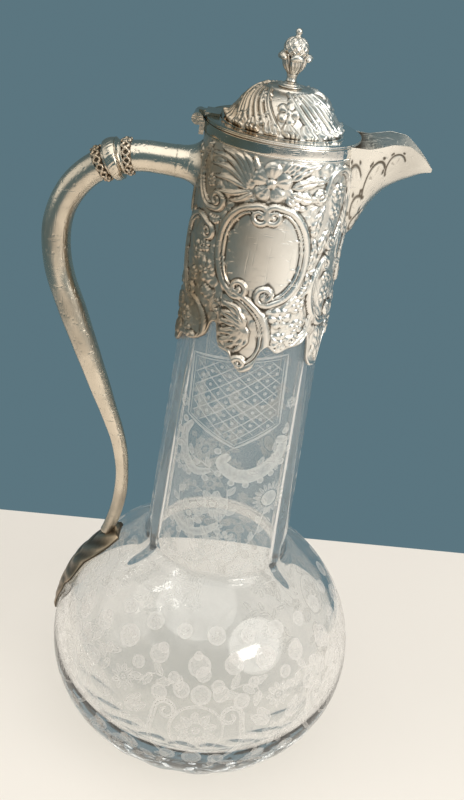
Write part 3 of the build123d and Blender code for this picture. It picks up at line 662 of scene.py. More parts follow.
class JugSizes(bpy.types.PropertyGroup):
    """Sizes of the ornament."""

    relief: depth_property("Relief", "Height of the chased work on the collar", collar_relief_depth)
    dome_relief: depth_property("Lid relief", "Height of the chased work on the lid", dome_relief_depth)


def colour_of(name):
    """A colour in use, for a socket."""
    return shade(getattr(bpy.context.scene.jug_colours, name))


def depth_of(name):
    """A depth in use, in millimetres."""
    return getattr(bpy.context.scene.jug_sizes, name) / MM


# Each finish: its colour, roughness, tarnish, scratches, pits and share of the painted side shade.
silver_finishes = {
    "chased_silver": ("silver", 0.36, 0.24, 0.8, 0.0, 1.0),
    "polished_silver": ("polished", 0.13, 0.10, 0.3, 0.0, 1.25),
    "satin_silver": ("satin", 0.28, 0.2, 0.5, 0.0, 1.0),
    "worn_silver": ("worn", 0.26, 0.36, 0.6, 0.5, 0.3),
    "hinge_silver": ("silver", 0.16, 0.25, 0.4, 0.0, 1.0),
}
made = {}


def finish_of(name):
    """A silver finish, made once and shared by the pieces that have it."""
    if name not in made:
        colour, *values = silver_finishes[name]
        made[name] = silver(name, colour_of(colour), *values)
    return made[name]


# ---- collar -----------------------------------------------------------------------------
def collar_radius_at(z):
    """Outer radius of the collar at a height: a straight taper."""
    share = (z - collar_bottom_z) / (rim_z - collar_bottom_z)
    return collar_bottom_radius + share * (collar_top_radius - collar_bottom_radius)


def folded(angles):
    """Angle from the front with the back half folded onto the front half."""
    return np.where(np.abs(angles) > np.pi / 2, np.sign(angles) * np.pi - angles, angles)


def spout_opening(side_distance):
    """Height of the spout's channel where it crosses the collar, by distance from its middle."""
    share = np.clip(np.abs(side_distance) / (spout_stations[1, 1] - spout_wall), 0, 1)
    keel_z = rim_z - spout_stations[1, 2] + 1.6
    return keel_z + (rim_z - keel_z) * (0.55 * share ** 1.6 + 0.45 * share ** 7)


def scroll_pair(relief):
    """The cartouche: two facing C scrolls, each with a volute at both ends, round a plain field."""
    middle_z, half_width, half_height = 230.9, 12.8, 15.6
    field = 0.22 * ramp(1.06, 0.9, np.hypot(relief.a / half_width, (relief.z - middle_z) / half_height))
    relief.height = np.where(field > 0, field, relief.height)
    for height, reach in ((240.5, 3.2), (236.5, 3.0), (226.5, 3.0), (222.5, 3.4)):
        for side in (-1, 1):
            root, tip = (side * 12.4, height - 1.5), (side * (12.4 - reach), height + 1.6)
            relief.blade(root, tip, -0.3 * side, 0.7, 0.55)
    for points, first, last in (
        (((-3.9, 247.6), (-9.6, 245.4), (-13.9, 239.5), (-15.0, 230.5), (-12.6, 221.6), (-8.6, 217.2)),
         (3.0, -1), (2.9, 1)),
        (((2.4, 248.2), (7.6, 246.8), (12.2, 241.5), (14.4, 233.5), (13.6, 225.0), (9.8, 218.6),
          (4.6, 215.4)), (2.9, 1), (3.1, -1)),
    ):
        relief.volute_scroll(points, 1.9, 1.3, first, last)


def upper_work(relief):
    """Flower over the cartouche between two fans of long leaves."""
    for tip, root, bow, width in (
        ((-25.5, 260.8), (-8.5, 254.4), -0.16, 1.25), ((-21.8, 263.6), (-8.0, 255.2), -0.16, 1.25),
        ((-16.8, 264.2), (-7.4, 256.0), -0.14, 1.25), ((-11.8, 264.0), (-6.8, 257.0), -0.12, 1.25),
        ((-25.0, 257.0), (-8.5, 253.6), -0.14, 1.2), ((-23.0, 253.4), (-8.5, 252.8), -0.08, 1.2),
        ((-19.6, 249.4), (-8.0, 252.0), 0.06, 1.3), ((-14.6, 247.6), (-7.0, 251.4), 0.1, 1.3),
        ((-7.4, 264.0), (-5.4, 259.0), 0.05, 1.3), ((4.6, 264.0), (2.6, 260.4), -0.08, 1.3),
    ):
        relief.blade(root, tip, bow, width, 1.1)
    for tip, root, bow, width in (
        ((9.6, 264.0), (4.0, 259.6), 0.10, 1.7), ((15.8, 263.2), (5.4, 257.8), 0.10, 2.0),
        ((18.6, 258.0), (6.2, 255.4), 0.06, 2.2), ((17.4, 252.4), (6.0, 253.4), -0.08, 2.1),
        ((12.6, 248.6), (4.8, 251.8), -0.1, 1.7),
    ):
        relief.leaf(root, tip, bow, width, 3, 1.0)
    relief.flower((-0.8, 256.0), 7.0, 5, np.pi / 2, 1.35)


def side_scrolls(relief):
    """Scrolls on both sides of the cartouche and under it, the broadest curling to the lowest tab."""
    for points, width, height, first, last in (
        (((-26.0, 263.0), (-30.0, 256.5), (-29.0, 248.5), (-24.6, 243.6), (-19.4, 243.4)),
         1.5, 1.1, (0, 0), (2.8, 1)),
        (((-21.0, 236.8), (-28.0, 238.6), (-34.5, 233.6), (-36.6, 225.5), (-33.6, 217.4), (-28.8, 210.8)),
         1.5, 1.15, (2.4, -1), (2.3, 1)),
        (((-29.5, 209.6), (-22.6, 209.4), (-18.2, 204.6), (-17.6, 198.6), (-20.4, 193.8)),
         1.5, 1.1, (0, 0), (2.2, -1)),
        (((-11.4, 218.6), (-3.4, 215.6), (3.0, 209.6), (5.2, 201.4), (3.6, 194.6), (-0.6, 190.4)),
         2.0, 1.3, (0, 0), (2.4, -1)),
        (((22.4, 229.6), (19.6, 222.6), (20.8, 214.0), (25.8, 207.6), (32.2, 208.0)),
         1.5, 1.1, (2.0, -1), (2.8, 1)),
        (((18.8, 252.6), (20.6, 259.6), (26.4, 261.2), (31.0, 256.0), (31.0, 246.0), (27.0, 236.0)),
         1.4, 1.05, (2.2, -1), (2.0, -1)),
        (((38.6, 238.5), (35.0, 231.0), (36.4, 222.0)), 1.2, 1.0, (2.2, 1), (2.2, 1)),
        (((-41.8, 236.0), (-38.2, 243.5), (-39.6, 251.0)), 1.2, 1.0, (2.2, -1), (2.2, 1)),
        (((21.0, 211.0), (20.0, 205.0), (16.0, 200.8)), 1.2, 0.95, (0, 0), (1.7, -1)),
    ):
        relief.volute_scroll(points, width, height, first, last)


def side_flowers(relief):
    """Roses between the scrolls, in groups of a large one and small ones."""
    for centre, radius, petals in (
        ((-19.8, 221.2), 4.5, 6), ((-26.4, 226.4), 3.6, 5), ((-22.2, 229.6), 2.6, 5),
        ((-26.6, 217.6), 2.6, 5), ((9.3, 210.2), 4.2, 6), ((11.0, 201.6), 3.7, 8), ((16.2, 207.0), 2.9, 5),
        ((15.4, 214.6), 2.8, 5), ((-28.6, 201.8), 3.5, 6), ((-33.6, 198.4), 3.0, 5),
        ((-26.0, 197.0), 2.6, 5), ((-34.4, 205.0), 2.6, 5), ((25.0, 254.0), 3.2, 6),
        ((24.8, 247.4), 2.6, 5), ((36.4, 250.0), 3.2, 5), ((37.4, 243.4), 2.5, 5), ((27.4, 217.8), 3.3, 6),
        ((26.6, 223.8), 2.4, 5), ((-36.8, 212.0), 2.6, 5), ((-35.6, 257.6), 3.2, 5), ((-23.6, 251.4), 2.3, 5),
    ):
        relief.flower(centre, radius, petals, petals * 0.37, 1.05)


def side_leaves(relief):
    """Leaves along the scrolls, and a fan of them over the tab under the cartouche."""
    for root, tip, bow, width in (
        ((-17.0, 240.0), (-22.6, 240.6), 0.2, 1.5), ((-33.0, 239.6), (-37.0, 234.6), 0.2, 1.8),
        ((-30.0, 214.5), (-37.5, 209.6), -0.15, 2.0), ((-21.6, 214.0), (-14.2, 209.6), 0.2, 1.9),
        ((-20.4, 216.0), (-14.4, 215.0), -0.2, 1.7), ((-30.5, 197.6), (-33.5, 190.0), -0.15, 2.0),
        ((-35.0, 196.0), (-39.6, 189.6), 0.1, 2.1), ((-25.0, 194.0), (-21.6, 190.0), 0.2, 1.4),
        ((15.0, 217.6), (16.8, 226.4), -0.2, 2.1), ((16.6, 227.6), (17.4, 238.4), -0.1, 2.1),
        ((17.0, 239.0), (19.4, 249.4), 0.1, 2.1), ((20.6, 233.0), (25.4, 242.6), 0.15, 2.0),
        ((32.0, 228.0), (39.4, 231.4), -0.2, 1.9), ((34.5, 217.0), (40.2, 212.0), -0.2, 2.0),
        ((33.0, 205.6), (38.6, 203.8), -0.15, 1.8), ((27.4, 205.0), (25.6, 193.6), 0.12, 2.2),
        ((30.0, 204.6), (30.4, 190.6), -0.08, 2.2), ((24.8, 206.0), (22.6, 203.6), 0.1, 1.2),
        ((14.0, 204.0), (19.0, 201.0), 0.1, 1.5), ((32.4, 245.6), (37.5, 237.0), -0.2, 1.9),
        ((-30.6, 250.6), (-37.4, 247.0), 0.2, 2.0), ((33.0, 258.4), (40.4, 262.2), 0.1, 1.9),
        ((-38.0, 206.0), (-41.0, 198.4), -0.1, 1.8), ((40.5, 206.0), (41.0, 198.0), 0.1, 1.8),
    ):
        relief.leaf(root, tip, bow, width, 4, 0.9)
    fan_root = (-1.6, 206.0)
    for tip, bow, width in (
        ((-14.6, 212.6), -0.2, 1.7), ((-15.4, 208.8), -0.12, 1.7), ((-13.4, 205.6), -0.06, 1.6),
        ((-12.8, 202.0), 0.06, 1.6), ((-11.0, 198.6), 0.1, 1.6), ((-8.2, 196.6), 0.14, 1.5),
        ((-4.8, 195.6), 0.16, 1.4),
    ):
        relief.leaf(fan_root, tip, bow, width, 3, 1.1)


def small_leaves(relief):
    """Low leaves strewn over the ground in a fixed random order, under all else."""
    chance = np.random.default_rng(7)
    count, length = 150, 7.0
    spots = chance.uniform((-42, 190), (42, 264), (count, 2))
    turns = chance.uniform(0, FULL_TURN, count)
    for (a, z), turn in zip(spots, turns):
        tip = (a + length * np.cos(turn), z + length * np.sin(turn))
        relief.leaf((a, z), tip, 0.15, 2.4, 2, 0.36)


def collar_relief(a, z, edge_z):
    """Height of the chased work, with a rolled border along the scrolled lower edge."""
    relief = Relief(a, z)
    small_leaves(relief)
    scroll_pair(relief)
    side_scrolls(relief)
    side_flowers(relief)
    side_leaves(relief)
    upper_work(relief)
    above = z - edge_z
    rolled = 0.5 * np.exp(-((above - 0.7) / 0.6) ** 2)
    relief.height = np.maximum(relief.height, rolled)
    under_band = ramp(band_low_z - 0.2, band_low_z - 1.1, z)
    return relief.height * under_band * ramp(-0.1, 0.9, above)


def make_collar():
    """The collar: rows run from the scrolled edge up to the rim, columns round the axis."""
    angles = ring_angles(440)
    rows = 206
    arc = folded(angles) * collar_top_radius * collar_drawing_share
    edge_z = smooth_through(collar_edge[:, 0], collar_edge[:, 1], arc)
    for _ in range(2):
        edge_z = (np.roll(edge_z, 1, 1) + 2 * edge_z + np.roll(edge_z, -1, 1)) / 4
    side_distance = collar_top_radius * np.cos(angles)
    opened = (np.sin(angles) > 0) & (np.abs(side_distance) < spout_stations[1, 1] - spout_wall)
    top_z = np.minimum(np.where(opened, spout_opening(side_distance), rim_z), rim_z)
    share = np.linspace(0, 1, rows)[:, None]
    height = edge_z + share * (top_z - edge_z)
    relief = collar_relief(np.broadcast_to(arc, height.shape), height, edge_z)
    outer = round_axis(collar_radius_at(height) + relief * depth_of("relief"), angles, height)
    ends = height[[-1, 0]]
    inner = round_axis(collar_radius_at(ends) - collar_wall, angles, ends)
    recess = np.concatenate([recess_of(relief, 8), np.full(ends.shape, 0.12)])
    points, faces = skin(np.concatenate([outer, inner]), ring=True)
    build("collar", points, faces, {"recess": recess}, finish_of("chased_silver"), "root",
          "chased_silver", "collar_shell")


# ---- plain rings ------------------------------------------------------------------------
def make_rings():
    """Mirror-bright band under the rim and the flat edge of the lid, turned from profiles."""
    half = np.arcsin(spout_stations[1, 1] / collar_top_radius)
    band_angles = np.linspace(np.pi / 2 + half, np.pi / 2 - half + FULL_TURN, 300)[None, :]
    low, high = collar_radius_at(band_low_z), collar_radius_at(rim_z)
    outline = softened((
        (low + 0.05, band_low_z), (low + 0.40, band_low_z + 0.1), (low + 0.42, band_low_z + 0.45),
        (low + 0.18, band_low_z + 0.62), (low + 0.36, band_low_z + 0.8),
        (high + 0.36, rim_z - 0.5), (high + 0.36, rim_z - 0.06), (high + 0.05, rim_z),
    ), 3)
    outer = turned_grid(outline, band_angles)
    seat = np.interp(outline[:, 1], (band_low_z, rim_z), (low, high)) + solder_gap
    inside = np.stack([seat, outline[:, 1]], axis=1)
    points, faces = slab(outer, turned_grid(inside, band_angles))
    build("rim_mirror_band", points, faces, {}, finish_of("polished_silver"), "root",
          "polished_silver", "rim_band")
    inner, foot = dome_foot_radius - 0.8, dome_foot_radius
    low, top, edge = flange_low_z, flange_top_z, flange_radius
    profile = softened((
        (inner, low), (edge - 0.9, low), (edge - 0.25, low), (edge, low + 0.2), (edge, low + 0.42),
        (edge - 0.14, low + 0.58), (edge, low + 0.74), (edge, top - 0.2), (edge - 0.2, top),
        (edge - 0.7, top), (edge - 0.95, top - 0.14), (edge - 1.2, top), (edge - 2.2, top - 0.05),
        (foot + 1.7, top - 0.1), (foot + 1.4, top - 0.3), (foot + 1.0, top - 0.05), (foot + 0.5, top),
        (inner, top),
    ), 3)
    points, faces = skin(turned_grid(profile, ring_angles(360)), ring=True)
    build("lid_edge", points, faces, {}, finish_of("polished_silver"), "lid", "polished_silver",
          "lid_flange")


# ---- lid dome ---------------------------------------------------------------------------
def dome_profile():
    """Outside of the dome, from its foot to its crown."""
    foot, low, top = dome_foot_radius - 0.2, flange_top_z, dome_top_z
    outline = (
        (foot, low), (foot - 0.5, low + 0.5), (foot - 2.2, low + 1.8), (foot - 4.4, low + 5.4),
        (foot - 6.4, low + 8.6), (foot - 9.8, low + 11.1), (foot - 12.6, top - 0.5),
        (4.6, top - 0.3), (4.0, top), (1.0, top),
    )
    return resampled(softened(outline, 3), 0.22)


def blossom(height, across, along_it, size, petals, turn):
    """Open blossom about the middle of flat distances, laid over a height as the higher one."""
    r = np.hypot(across, along_it)
    heading = np.arctan2(along_it, across) - turn
    lobe = np.abs(np.cos(petals * heading / 2))
    x = r / (size * (0.64 + 0.36 * lobe ** 0.5))
    petal = np.clip(1 - x ** 6, 0, 1) * (0.15 + 0.85 * lobe ** 0.6) * (0.45 + 0.55 * x)
    return np.maximum(height, np.maximum(petal, 0.9 * bump(r, 0.3 * size)))


def dome_work(angles, distance):
    """Chased work of the dome, in four panels with slanted flutes between and leaves below.

    Distance runs up the profile from the foot, in millimetres, and angles go round it.
    """
    panels, flutes, foot_leaves = 4, 20, 18
    reach = dome_foot_radius - 0.62 * distance
    middle_row, slant = 8.0, 0.045
    turned = angles + slant * (distance - middle_row)
    panel = np.cos(panels * turned)
    worked = ramp(2.0, 4.0, distance) * ramp(dome_ring - 0.6, dome_ring - 2.4, distance)
    total = 0.85 * np.abs(np.sin(flutes * turned)) ** 0.8 * ramp(0.25, -0.2, panel) * worked
    total = np.maximum(total, 0.95 * bump(panel - 0.22, 0.24) * worked)
    for index in range(panels):
        for turn, middle, size, petals in (
            (0.015, 8.6, 4.2, 5), (0.072, 13.4, 2.7, 6), (-0.088, 5.6, 3.0, 5), (0.088, 5.0, 2.8, 6),
            (-0.07, 12.6, 2.6, 5),
        ):
            place = FULL_TURN * (index / panels + turn) - slant * (middle - middle_row)
            across = wrapped(angles - place) * reach
            total = blossom(total, across, distance - middle, size, petals, index + 3 * turn)
    for index in range(foot_leaves):
        away = wrapped(angles - FULL_TURN * (index + 0.5) / foot_leaves) * dome_foot_radius
        away = away + 0.45 * distance
        edge = 3.1 * np.sin(np.pi * np.clip(0.12 + distance / 6.2, 0, 1) ** 0.8) ** 0.7 + 1e-6
        x = away / edge
        leaf = np.clip(1 - x * x, 0, 1) ** 0.5 * (0.78 + 0.22 * np.cos(FULL_TURN * 1.5 * x))
        tip = 1 + 0.8 * ramp(2.4, 0.6, distance) * (0.5 + 0.5 * np.cos(index * 2.4))
        total = np.maximum(total, leaf * tip * ramp(5.6, 4.6, distance))
    return np.maximum(total, 0.5 * np.exp(-((distance - dome_ring) / 0.4) ** 2))


def make_dome():
    """Dome of the lid: its work is lifted along the profile's normal."""
    angles = ring_angles(480)
    profile = dome_profile()
    distance = np.concatenate([[0], np.cumsum(np.linalg.norm(np.diff(profile, axis=0), axis=1))])[:, None]
    work = dome_work(angles, distance)
    outer = turned_grid(profile, angles, work * depth_of("dome_relief") * ramp(-0.2, 0.6, distance))
    inner = turned_grid(profile, angles, -dome_wall + 0 * work)[::-8]
    inner[-1, :, 2] = np.maximum(inner[-1, :, 2], flange_top_z)
    recess = np.concatenate([1.15 * recess_of(work, 11), np.full(inner.shape[:2], 0.1)])
    points, faces = skin(np.concatenate([outer, inner]), ring=True)
    build("lid_dome_chased", points, faces, {"recess": recess}, finish_of("chased_silver"), "lid",
          "chased_silver", "lid_dome")


# ---- spout ------------------------------------------------------------------------------
def spout_sheet(x, t, inset):
    """Spout surface at distances x and shares t across, from lip (-1) to lip (1).

    Across, y = w (1.587 t - 0.587 t3) and z = keel + h (2.227 t2 - 1.227 t4).
    """
    out, half, drop, rise = spout_stations.T
    width = smooth_through(out, half, x)
    keel = rim_z - smooth_through(out, drop, x)
    lip = rim_z + smooth_through(out, rise, x)
    if inset:
        slope = np.gradient(keel, axis=0) / np.gradient(x, axis=0)
        keel = np.minimum(keel + spout_wall * np.sqrt(1 + slope ** 2), lip - 0.5)
        width = np.maximum(width - spout_wall, 0.4 * width)
    y = width * (1.587 * t - 0.587 * t ** 3)
    z = keel + (lip - keel) * (2.227 * t ** 2 - 1.227 * t ** 4)
    return np.stack([collar_top_radius + x + 0 * t, y + 0 * x, z], axis=-1)


def spout_rows(t):
    """Distances out for each share across, from where the sheet meets the collar to the tip."""
    trial = np.linspace(spout_stations[0, 0], spout_stations[-1, 0], 500)[:, None]
    sheet = spout_sheet(trial, t, False)
    outside = np.hypot(sheet[..., 0], sheet[..., 1]) > collar_radius_at(sheet[..., 2]) + 0.04
    start = trial[np.argmax(outside, axis=0), 0]
    share = np.linspace(0, 1, 120)[:, None] ** 0.9
    return start[None, :] + share * (spout_stations[-1, 0] - start[None, :])


def spout_chasing(grid, t):
    """Chased leaf on each side of the spout, by distance out, from the lip and from the joint.

    Lobes arch towards the lip and towards the joint, with a short vein in each and punched
    dots round it; below them the metal is plain.
    """
    x = grid[..., 0] - collar_top_radius
    below = (1 - np.abs(t)) * 17.0 + 0 * x
    joint = x - x[:1]
    total = np.zeros(x.shape)
    for first, second, size, strength in (
        (x - 6.4, below - 8.2, 2.9, 1.0), (x - 12.6, below - 8.0, 3.0, 1.0),
        (joint - 2.2, below - 6.6, 2.0, 0.9), (joint - 3.4, below - 10.4, 1.9, 0.9),
        (joint - 3.2, below - 13.4, 1.6, 0.9), (joint - 2.8, below - 15.8, 1.2, 0.9),
    ):
        r = np.hypot(first, second)
        heading = np.arctan2(second, first)
        arch = ramp(1.95, 1.6, np.abs(wrapped(heading + 0.62 * np.pi)))
        line = np.exp(-((r - size) / 0.36) ** 2) * arch
        dots = np.exp(-((r - size - 0.75) / 0.42) ** 2) * arch * ramp(0.5, 0.8, np.cos(6 * heading))
        veins = ramp(0.55, 0.8, np.cos(5 * heading)) * ramp(size, 0.6 * size, r)
        veins = veins * ramp(0.1, 0.3 * size, r) * arch
        total = np.maximum(total, strength * np.maximum(np.maximum(line, dots), 0.55 * veins))
    return np.clip(total, 0, 1)


def make_spout():
    """Open pouring spout: an outer and an inner sheet bridged along lip, tip and root."""
    t = np.linspace(-1, 1, 161)[None, :]
    x = spout_rows(t)
    outer = spout_sheet(x, t, False)
    inner = spout_sheet(x, t, True)
    chasing = spout_chasing(outer, t)
    normal = np.cross(np.gradient(outer, axis=0), np.gradient(outer, axis=1))
    normal /= np.linalg.norm(normal, axis=-1, keepdims=True) + 1e-9
    outer = outer + normal * (chasing[..., None] * spout_chasing_depth)
    root = ramp(0.22, 0.0, np.linspace(0, 1, len(x))[:, None] + 0 * t)
    values = np.concatenate([(chasing * 0.27 - 0.02).ravel(), (0.08 + 0.30 * root).ravel()])
    points, faces = slab(outer, inner)
    build("spout_chased", points, faces, {"recess": values}, finish_of("satin_silver"), "root",
          "satin_silver", "spout")


# ---- handle -----------------------------------------------------------------------------
def globe_radius_at(z):
    """Radius of the globe at a height: a half ellipse above its middle and one below."""
    half = np.where(z > globe_centre_z, globe_upper_half, globe_lower_half)
    return globe_radius * np.sqrt(np.clip(1 - ((z - globe_centre_z) / half) ** 2, 0, 1))


def handle_runs():
    """Lengths and radii of the handle's straight and curved runs, solved to end at the leaf."""
    end_x = -(globe_radius_at(handle_foot_z) + handle_standoff)
    bend_x = -collar_radius_at(arm_z) - arm_run - bend_radius
    across = end_x - bend_x - back_radius - foot_curve_radius * np.cos(foot_curve_lean)
    down = arm_z - bend_radius - handle_foot_z - foot_curve_radius * np.sin(foot_curve_lean)
    both = back_radius + foot_curve_radius
    straight = np.sqrt(across ** 2 + down ** 2 - both ** 2)
    lean = np.arcsin((across * straight + down * both) / (straight ** 2 + both ** 2))
    return (
        (arm_run, 0.0),
        (bend_radius * np.pi / 2, bend_radius),
        (back_radius * lean, back_radius),
        (straight, 0.0),
        (foot_curve_radius * (lean + foot_curve_lean), -foot_curve_radius),
    )


def handle_line(distance):
    """Centre and heading of the handle at distances along it from the collar."""
    x = np.full(distance.shape, -collar_radius_at(arm_z))
    z = np.full(distance.shape, arm_z)
    heading = np.zeros(distance.shape)
    left = distance.astype(float)
    for index, (length, radius) in enumerate(handle_runs()):
        step = np.clip(left, left * (left < 0) * (index == 0), length)
        if radius:
            later = heading + step / radius
            x = x - radius * (np.sin(later) - np.sin(heading))
            z = z + radius * (np.cos(later) - np.cos(heading))
            heading = later
        else:
            x = x - step * np.cos(heading)
            z = z - step * np.sin(heading)
        left = left - step
    return x, z, heading


def round_handle(distance, radius, angles):
    """Points at a radius round the handle: angle 0 is to the back of the jug, 90 degrees down."""
    x, z, heading = handle_line(distance)
    across = radius * np.cos(angles)
    down = radius * np.sin(angles)
    return np.stack([x + down * np.sin(heading), across + 0 * x, z - down * np.cos(heading)], axis=-1)


def tube_radius_at(distance):
    """Radius of the long tube: full through the bend, easing down to the waist."""
    runs = handle_runs()
    start = sum(length for length, _ in runs[:3])
    ease = ramp(start, start + runs[3][0] + runs[4][0] * 0.5, distance)
    return tube_radius + ease * (waist_radius - tube_radius)


def make_handle_tubes():
    """Upper arm with its flared root, and the long tube with small dents from wear."""
    angles = ring_angles(96)
    end, seam, flare = bead_distance - bead_width / 2, 7.6, 3.4
    share = np.linspace(0, 1, 110)[:, None]
    spread = arm_radius + flare * np.exp(-share * end / 2.6)
    spread = spread + 0.12 * np.exp(-((share * end - seam) / 0.5) ** 2)
    across = spread * np.cos(angles)
    start = collar_radius_at(arm_z) - np.sqrt(np.clip(collar_radius_at(arm_z) ** 2 - across ** 2, 0, None))
    distance = -start * (1 - share) ** 2 + share * end
    grid = round_handle(distance, spread, angles)
    # Painted shadow at the root against the collar and just past the seam, and painted shade along the
    # underside.
    shadow = 0.16 * np.exp(-share * end / 3.2) + 0.10 * np.exp(-((share * end - seam - 0.5) / 0.3) ** 2)
    underside_shade = 0.12 * np.exp(-((angles - np.pi / 2) / 0.45) ** 2) + 0 * share
    points, faces = skin(grid)
    values = skin_values(shadow + underside_shade)
    build("handle_arm", points, faces, {"recess": values}, finish_of("worn_silver"), "root",
          "chased_silver", "handle_upper_arm", "handle_socket")
    start = bead_distance + bead_width / 2
    total = sum(length for length, _ in handle_runs())
    distance = np.linspace(start, total, 330)[:, None]
    wave = 0.06 * np.sin(distance * 0.31 + 2 * angles) * np.sin(distance * 0.083) - 0.06
    grid = round_handle(distance + 0 * angles, tube_radius_at(distance) + wave, angles)
    points, faces = skin(grid)
    shadow = 0.12 * ramp(total - 26, total, distance) + 0.05 * np.sin(angles)
    shadow = shadow + 0.06 * np.exp(-(distance - start) / 3)
    build("handle_tube", points, faces, {"recess": skin_values(shadow)}, finish_of("worn_silver"), "root",
          "chased_silver", "handle_scroll")


def ring_on_handle(name, start, outline, angles, lift, recess, node, finish):
    """Ring turned round the handle from a closed outline of distance and radius, then lifted."""
    distance = start + outline[:, :1] + 0 * angles
    grid = round_handle(distance, outline[:, 1:] + lift, angles)
    points, faces = skin(grid, ring=True)
    values = {"recess": np.broadcast_to(recess, grid.shape[:2])}
    build(name, points, faces, values, finish_of(finish), "root", "chased_silver", node)


def make_handle_rings():
    """Two galleries of crossed leaves, a cup and a round knop where the handle's tubes meet."""
    angles = ring_angles(240)
    leaves = 13
    bore = arm_radius + 0.12
    front = bead_distance - bead_width / 2 - cup_width - gallery_width
    rear = bead_distance + bead_width / 2 + rear_gallery_gap
    for name, start, node in (
        ("front_gallery", front, "handle_front_gallery"), ("rear_gallery", rear, "handle_rear_gallery"),
    ):
        steps = np.linspace(0, 1, 26)
        top = np.stack([gallery_width * steps, gallery_radius - 0.5 * np.abs(2 * steps - 1) ** 3], axis=1)
        outline = np.concatenate([top, [(gallery_width, bore), (gallery_width / 2, bore), (0.0, bore)]])
        u = outline[:, :1] / gallery_width
        crossing = [np.abs(np.cos(leaves * angles / 2 + side * np.pi * (u - 0.5))) for side in (-1, 1)]
        bars = [np.clip(1 - ((1 - wave) / 0.34) ** 2, 0, 1) for wave in crossing]
        leaf = np.clip(bars[0] + bars[1], 0, 1.35)
        outside = outline[:, 1:] > bore + 0.3
        lift = (0.85 * leaf - 1.1) * outside
        recess = np.where(outside, 0.34 - 0.36 * leaf, 0.3)
        ring_on_handle(name, start, outline, angles, lift, recess, node, "chased_silver")
    steps = np.linspace(0, 1, 12)
    cove = np.stack([cup_width * steps, 6.2 + 1.0 * steps ** 2.5 - 0.25 * np.sin(np.pi * steps)], axis=1)
    outline = np.concatenate([cove, [(cup_width, bore), (0.0, bore)]])
    ring_on_handle("handle_cove", bead_distance - bead_width / 2 - cup_width, outline, angles, 0.0,
                   0.08, "handle_cup", "worn_silver")
    steps = np.linspace(0, np.pi, 33)
    side = bead_radius - 1.2
    knop = np.stack([bead_width * (0.5 - 0.5 * np.cos(steps)), side + 1.2 * np.sin(steps) ** 0.7], axis=1)
    outline = np.concatenate([knop, [(bead_width, 1.0), (0.0, 1.0)]])
    u = outline[:, :1] / bead_width
    cord = 0.05 * np.cos(36 * angles + 9 * u) * np.exp(-((u - 0.5) / 0.3) ** 2) * (outline[:, 1:] > 2)
    ring_on_handle("handle_knop", bead_distance - bead_width / 2, outline, angles, cord,
                   0.04 - 0.6 * cord, "handle_bead_ring", "worn_silver")


# ---- leaf at the foot of the handle -----------------------------------------------------
def make_leaf():
    """Leaf on the shoulder: rows run from under the tube to the tip, columns across.

    Its outline swells and lobes, its middle stands proud under the tube and thins to the tip.
    """
    tip_z, top_z = leaf_low[2], leaf_high[2] - 2.5
    share = np.linspace(0, 1, 120)[:, None]
    across = np.linspace(-1, 1, 81)[None, :]
    lobe = 0.80 + 0.20 * np.abs(np.sin(np.pi * 3.5 * share))
    width = 10.6 * np.sin(np.pi * (0.16 + 0.84 * share)) ** 0.65 * lobe
    z = top_z + share * (tip_z - top_z)
    z = z + 1.4 * np.abs(across) * np.sin(np.pi * 3.5 * share)
    radius = globe_radius_at(z)
    angle = across * width / np.maximum(radius, 20)
    veins = 0.5 + 0.5 * np.cos(FULL_TURN * (3.5 * share * 2 + 0.9 * np.abs(across)))
    dome = np.sqrt(np.clip(1 - across ** 2, 0, 1))
    proud = 0.7 + (1.1 + 2.6 * (1 - share) ** 2) * dome * (0.75 + 0.25 * veins)
    proud = proud - 0.6 * np.exp(-(across / 0.06) ** 2) * (share > 0.3)
    slope = np.gradient(globe_radius_at(z), axis=0) / np.gradient(z, axis=0)
    tilt = np.sqrt(1 + slope ** 2)
    centre = np.stack([-np.cos(angle) * radius, np.sin(angle) * radius, z + 0 * angle], axis=-1)
    normal = np.stack([-np.cos(angle) / tilt, np.sin(angle) / tilt, -slope / tilt], axis=-1)
    outer = centre + normal * proud[..., None]
    inner = centre + normal * 0.5
    recess = 0.16 + 1.2 * recess_of(proud, 6, False)
    values = np.concatenate([recess.ravel(), np.full(recess.size, 0.2)])
    points, faces = slab(outer, inner)
    build("handle_leaf", points, faces, {"recess": values}, finish_of("chased_silver"), "root",
          "chased_silver", "handle_leaf_terminal")


# ---- finial -----------------------------------------------------------------------------
def turned_piece(name, outline, columns, node, softness=2, lift_of=lambda angles, z: 0 * z, shadow=1.0):
    """Solid turned from an outline that starts and ends on the axis, with lifted relief."""
    profile = resampled(softened(outline, softness), 0.12)
    poles = [np.array((0, 0, profile[0, 1])), np.array((0, 0, profile[-1, 1]))]
    profile = profile[1:-1]
    angles = ring_angles(columns)
    lift = lift_of(angles, profile[:, 1:]) + 0 * angles
    points, faces = skin(turned_grid(profile, angles, lift), poles)
    recess = shadow * recess_of(lift, 5)
    build(name, points, faces, {"recess": skin_values(recess)}, finish_of("chased_silver"), "lid",
          "chased_silver", node)


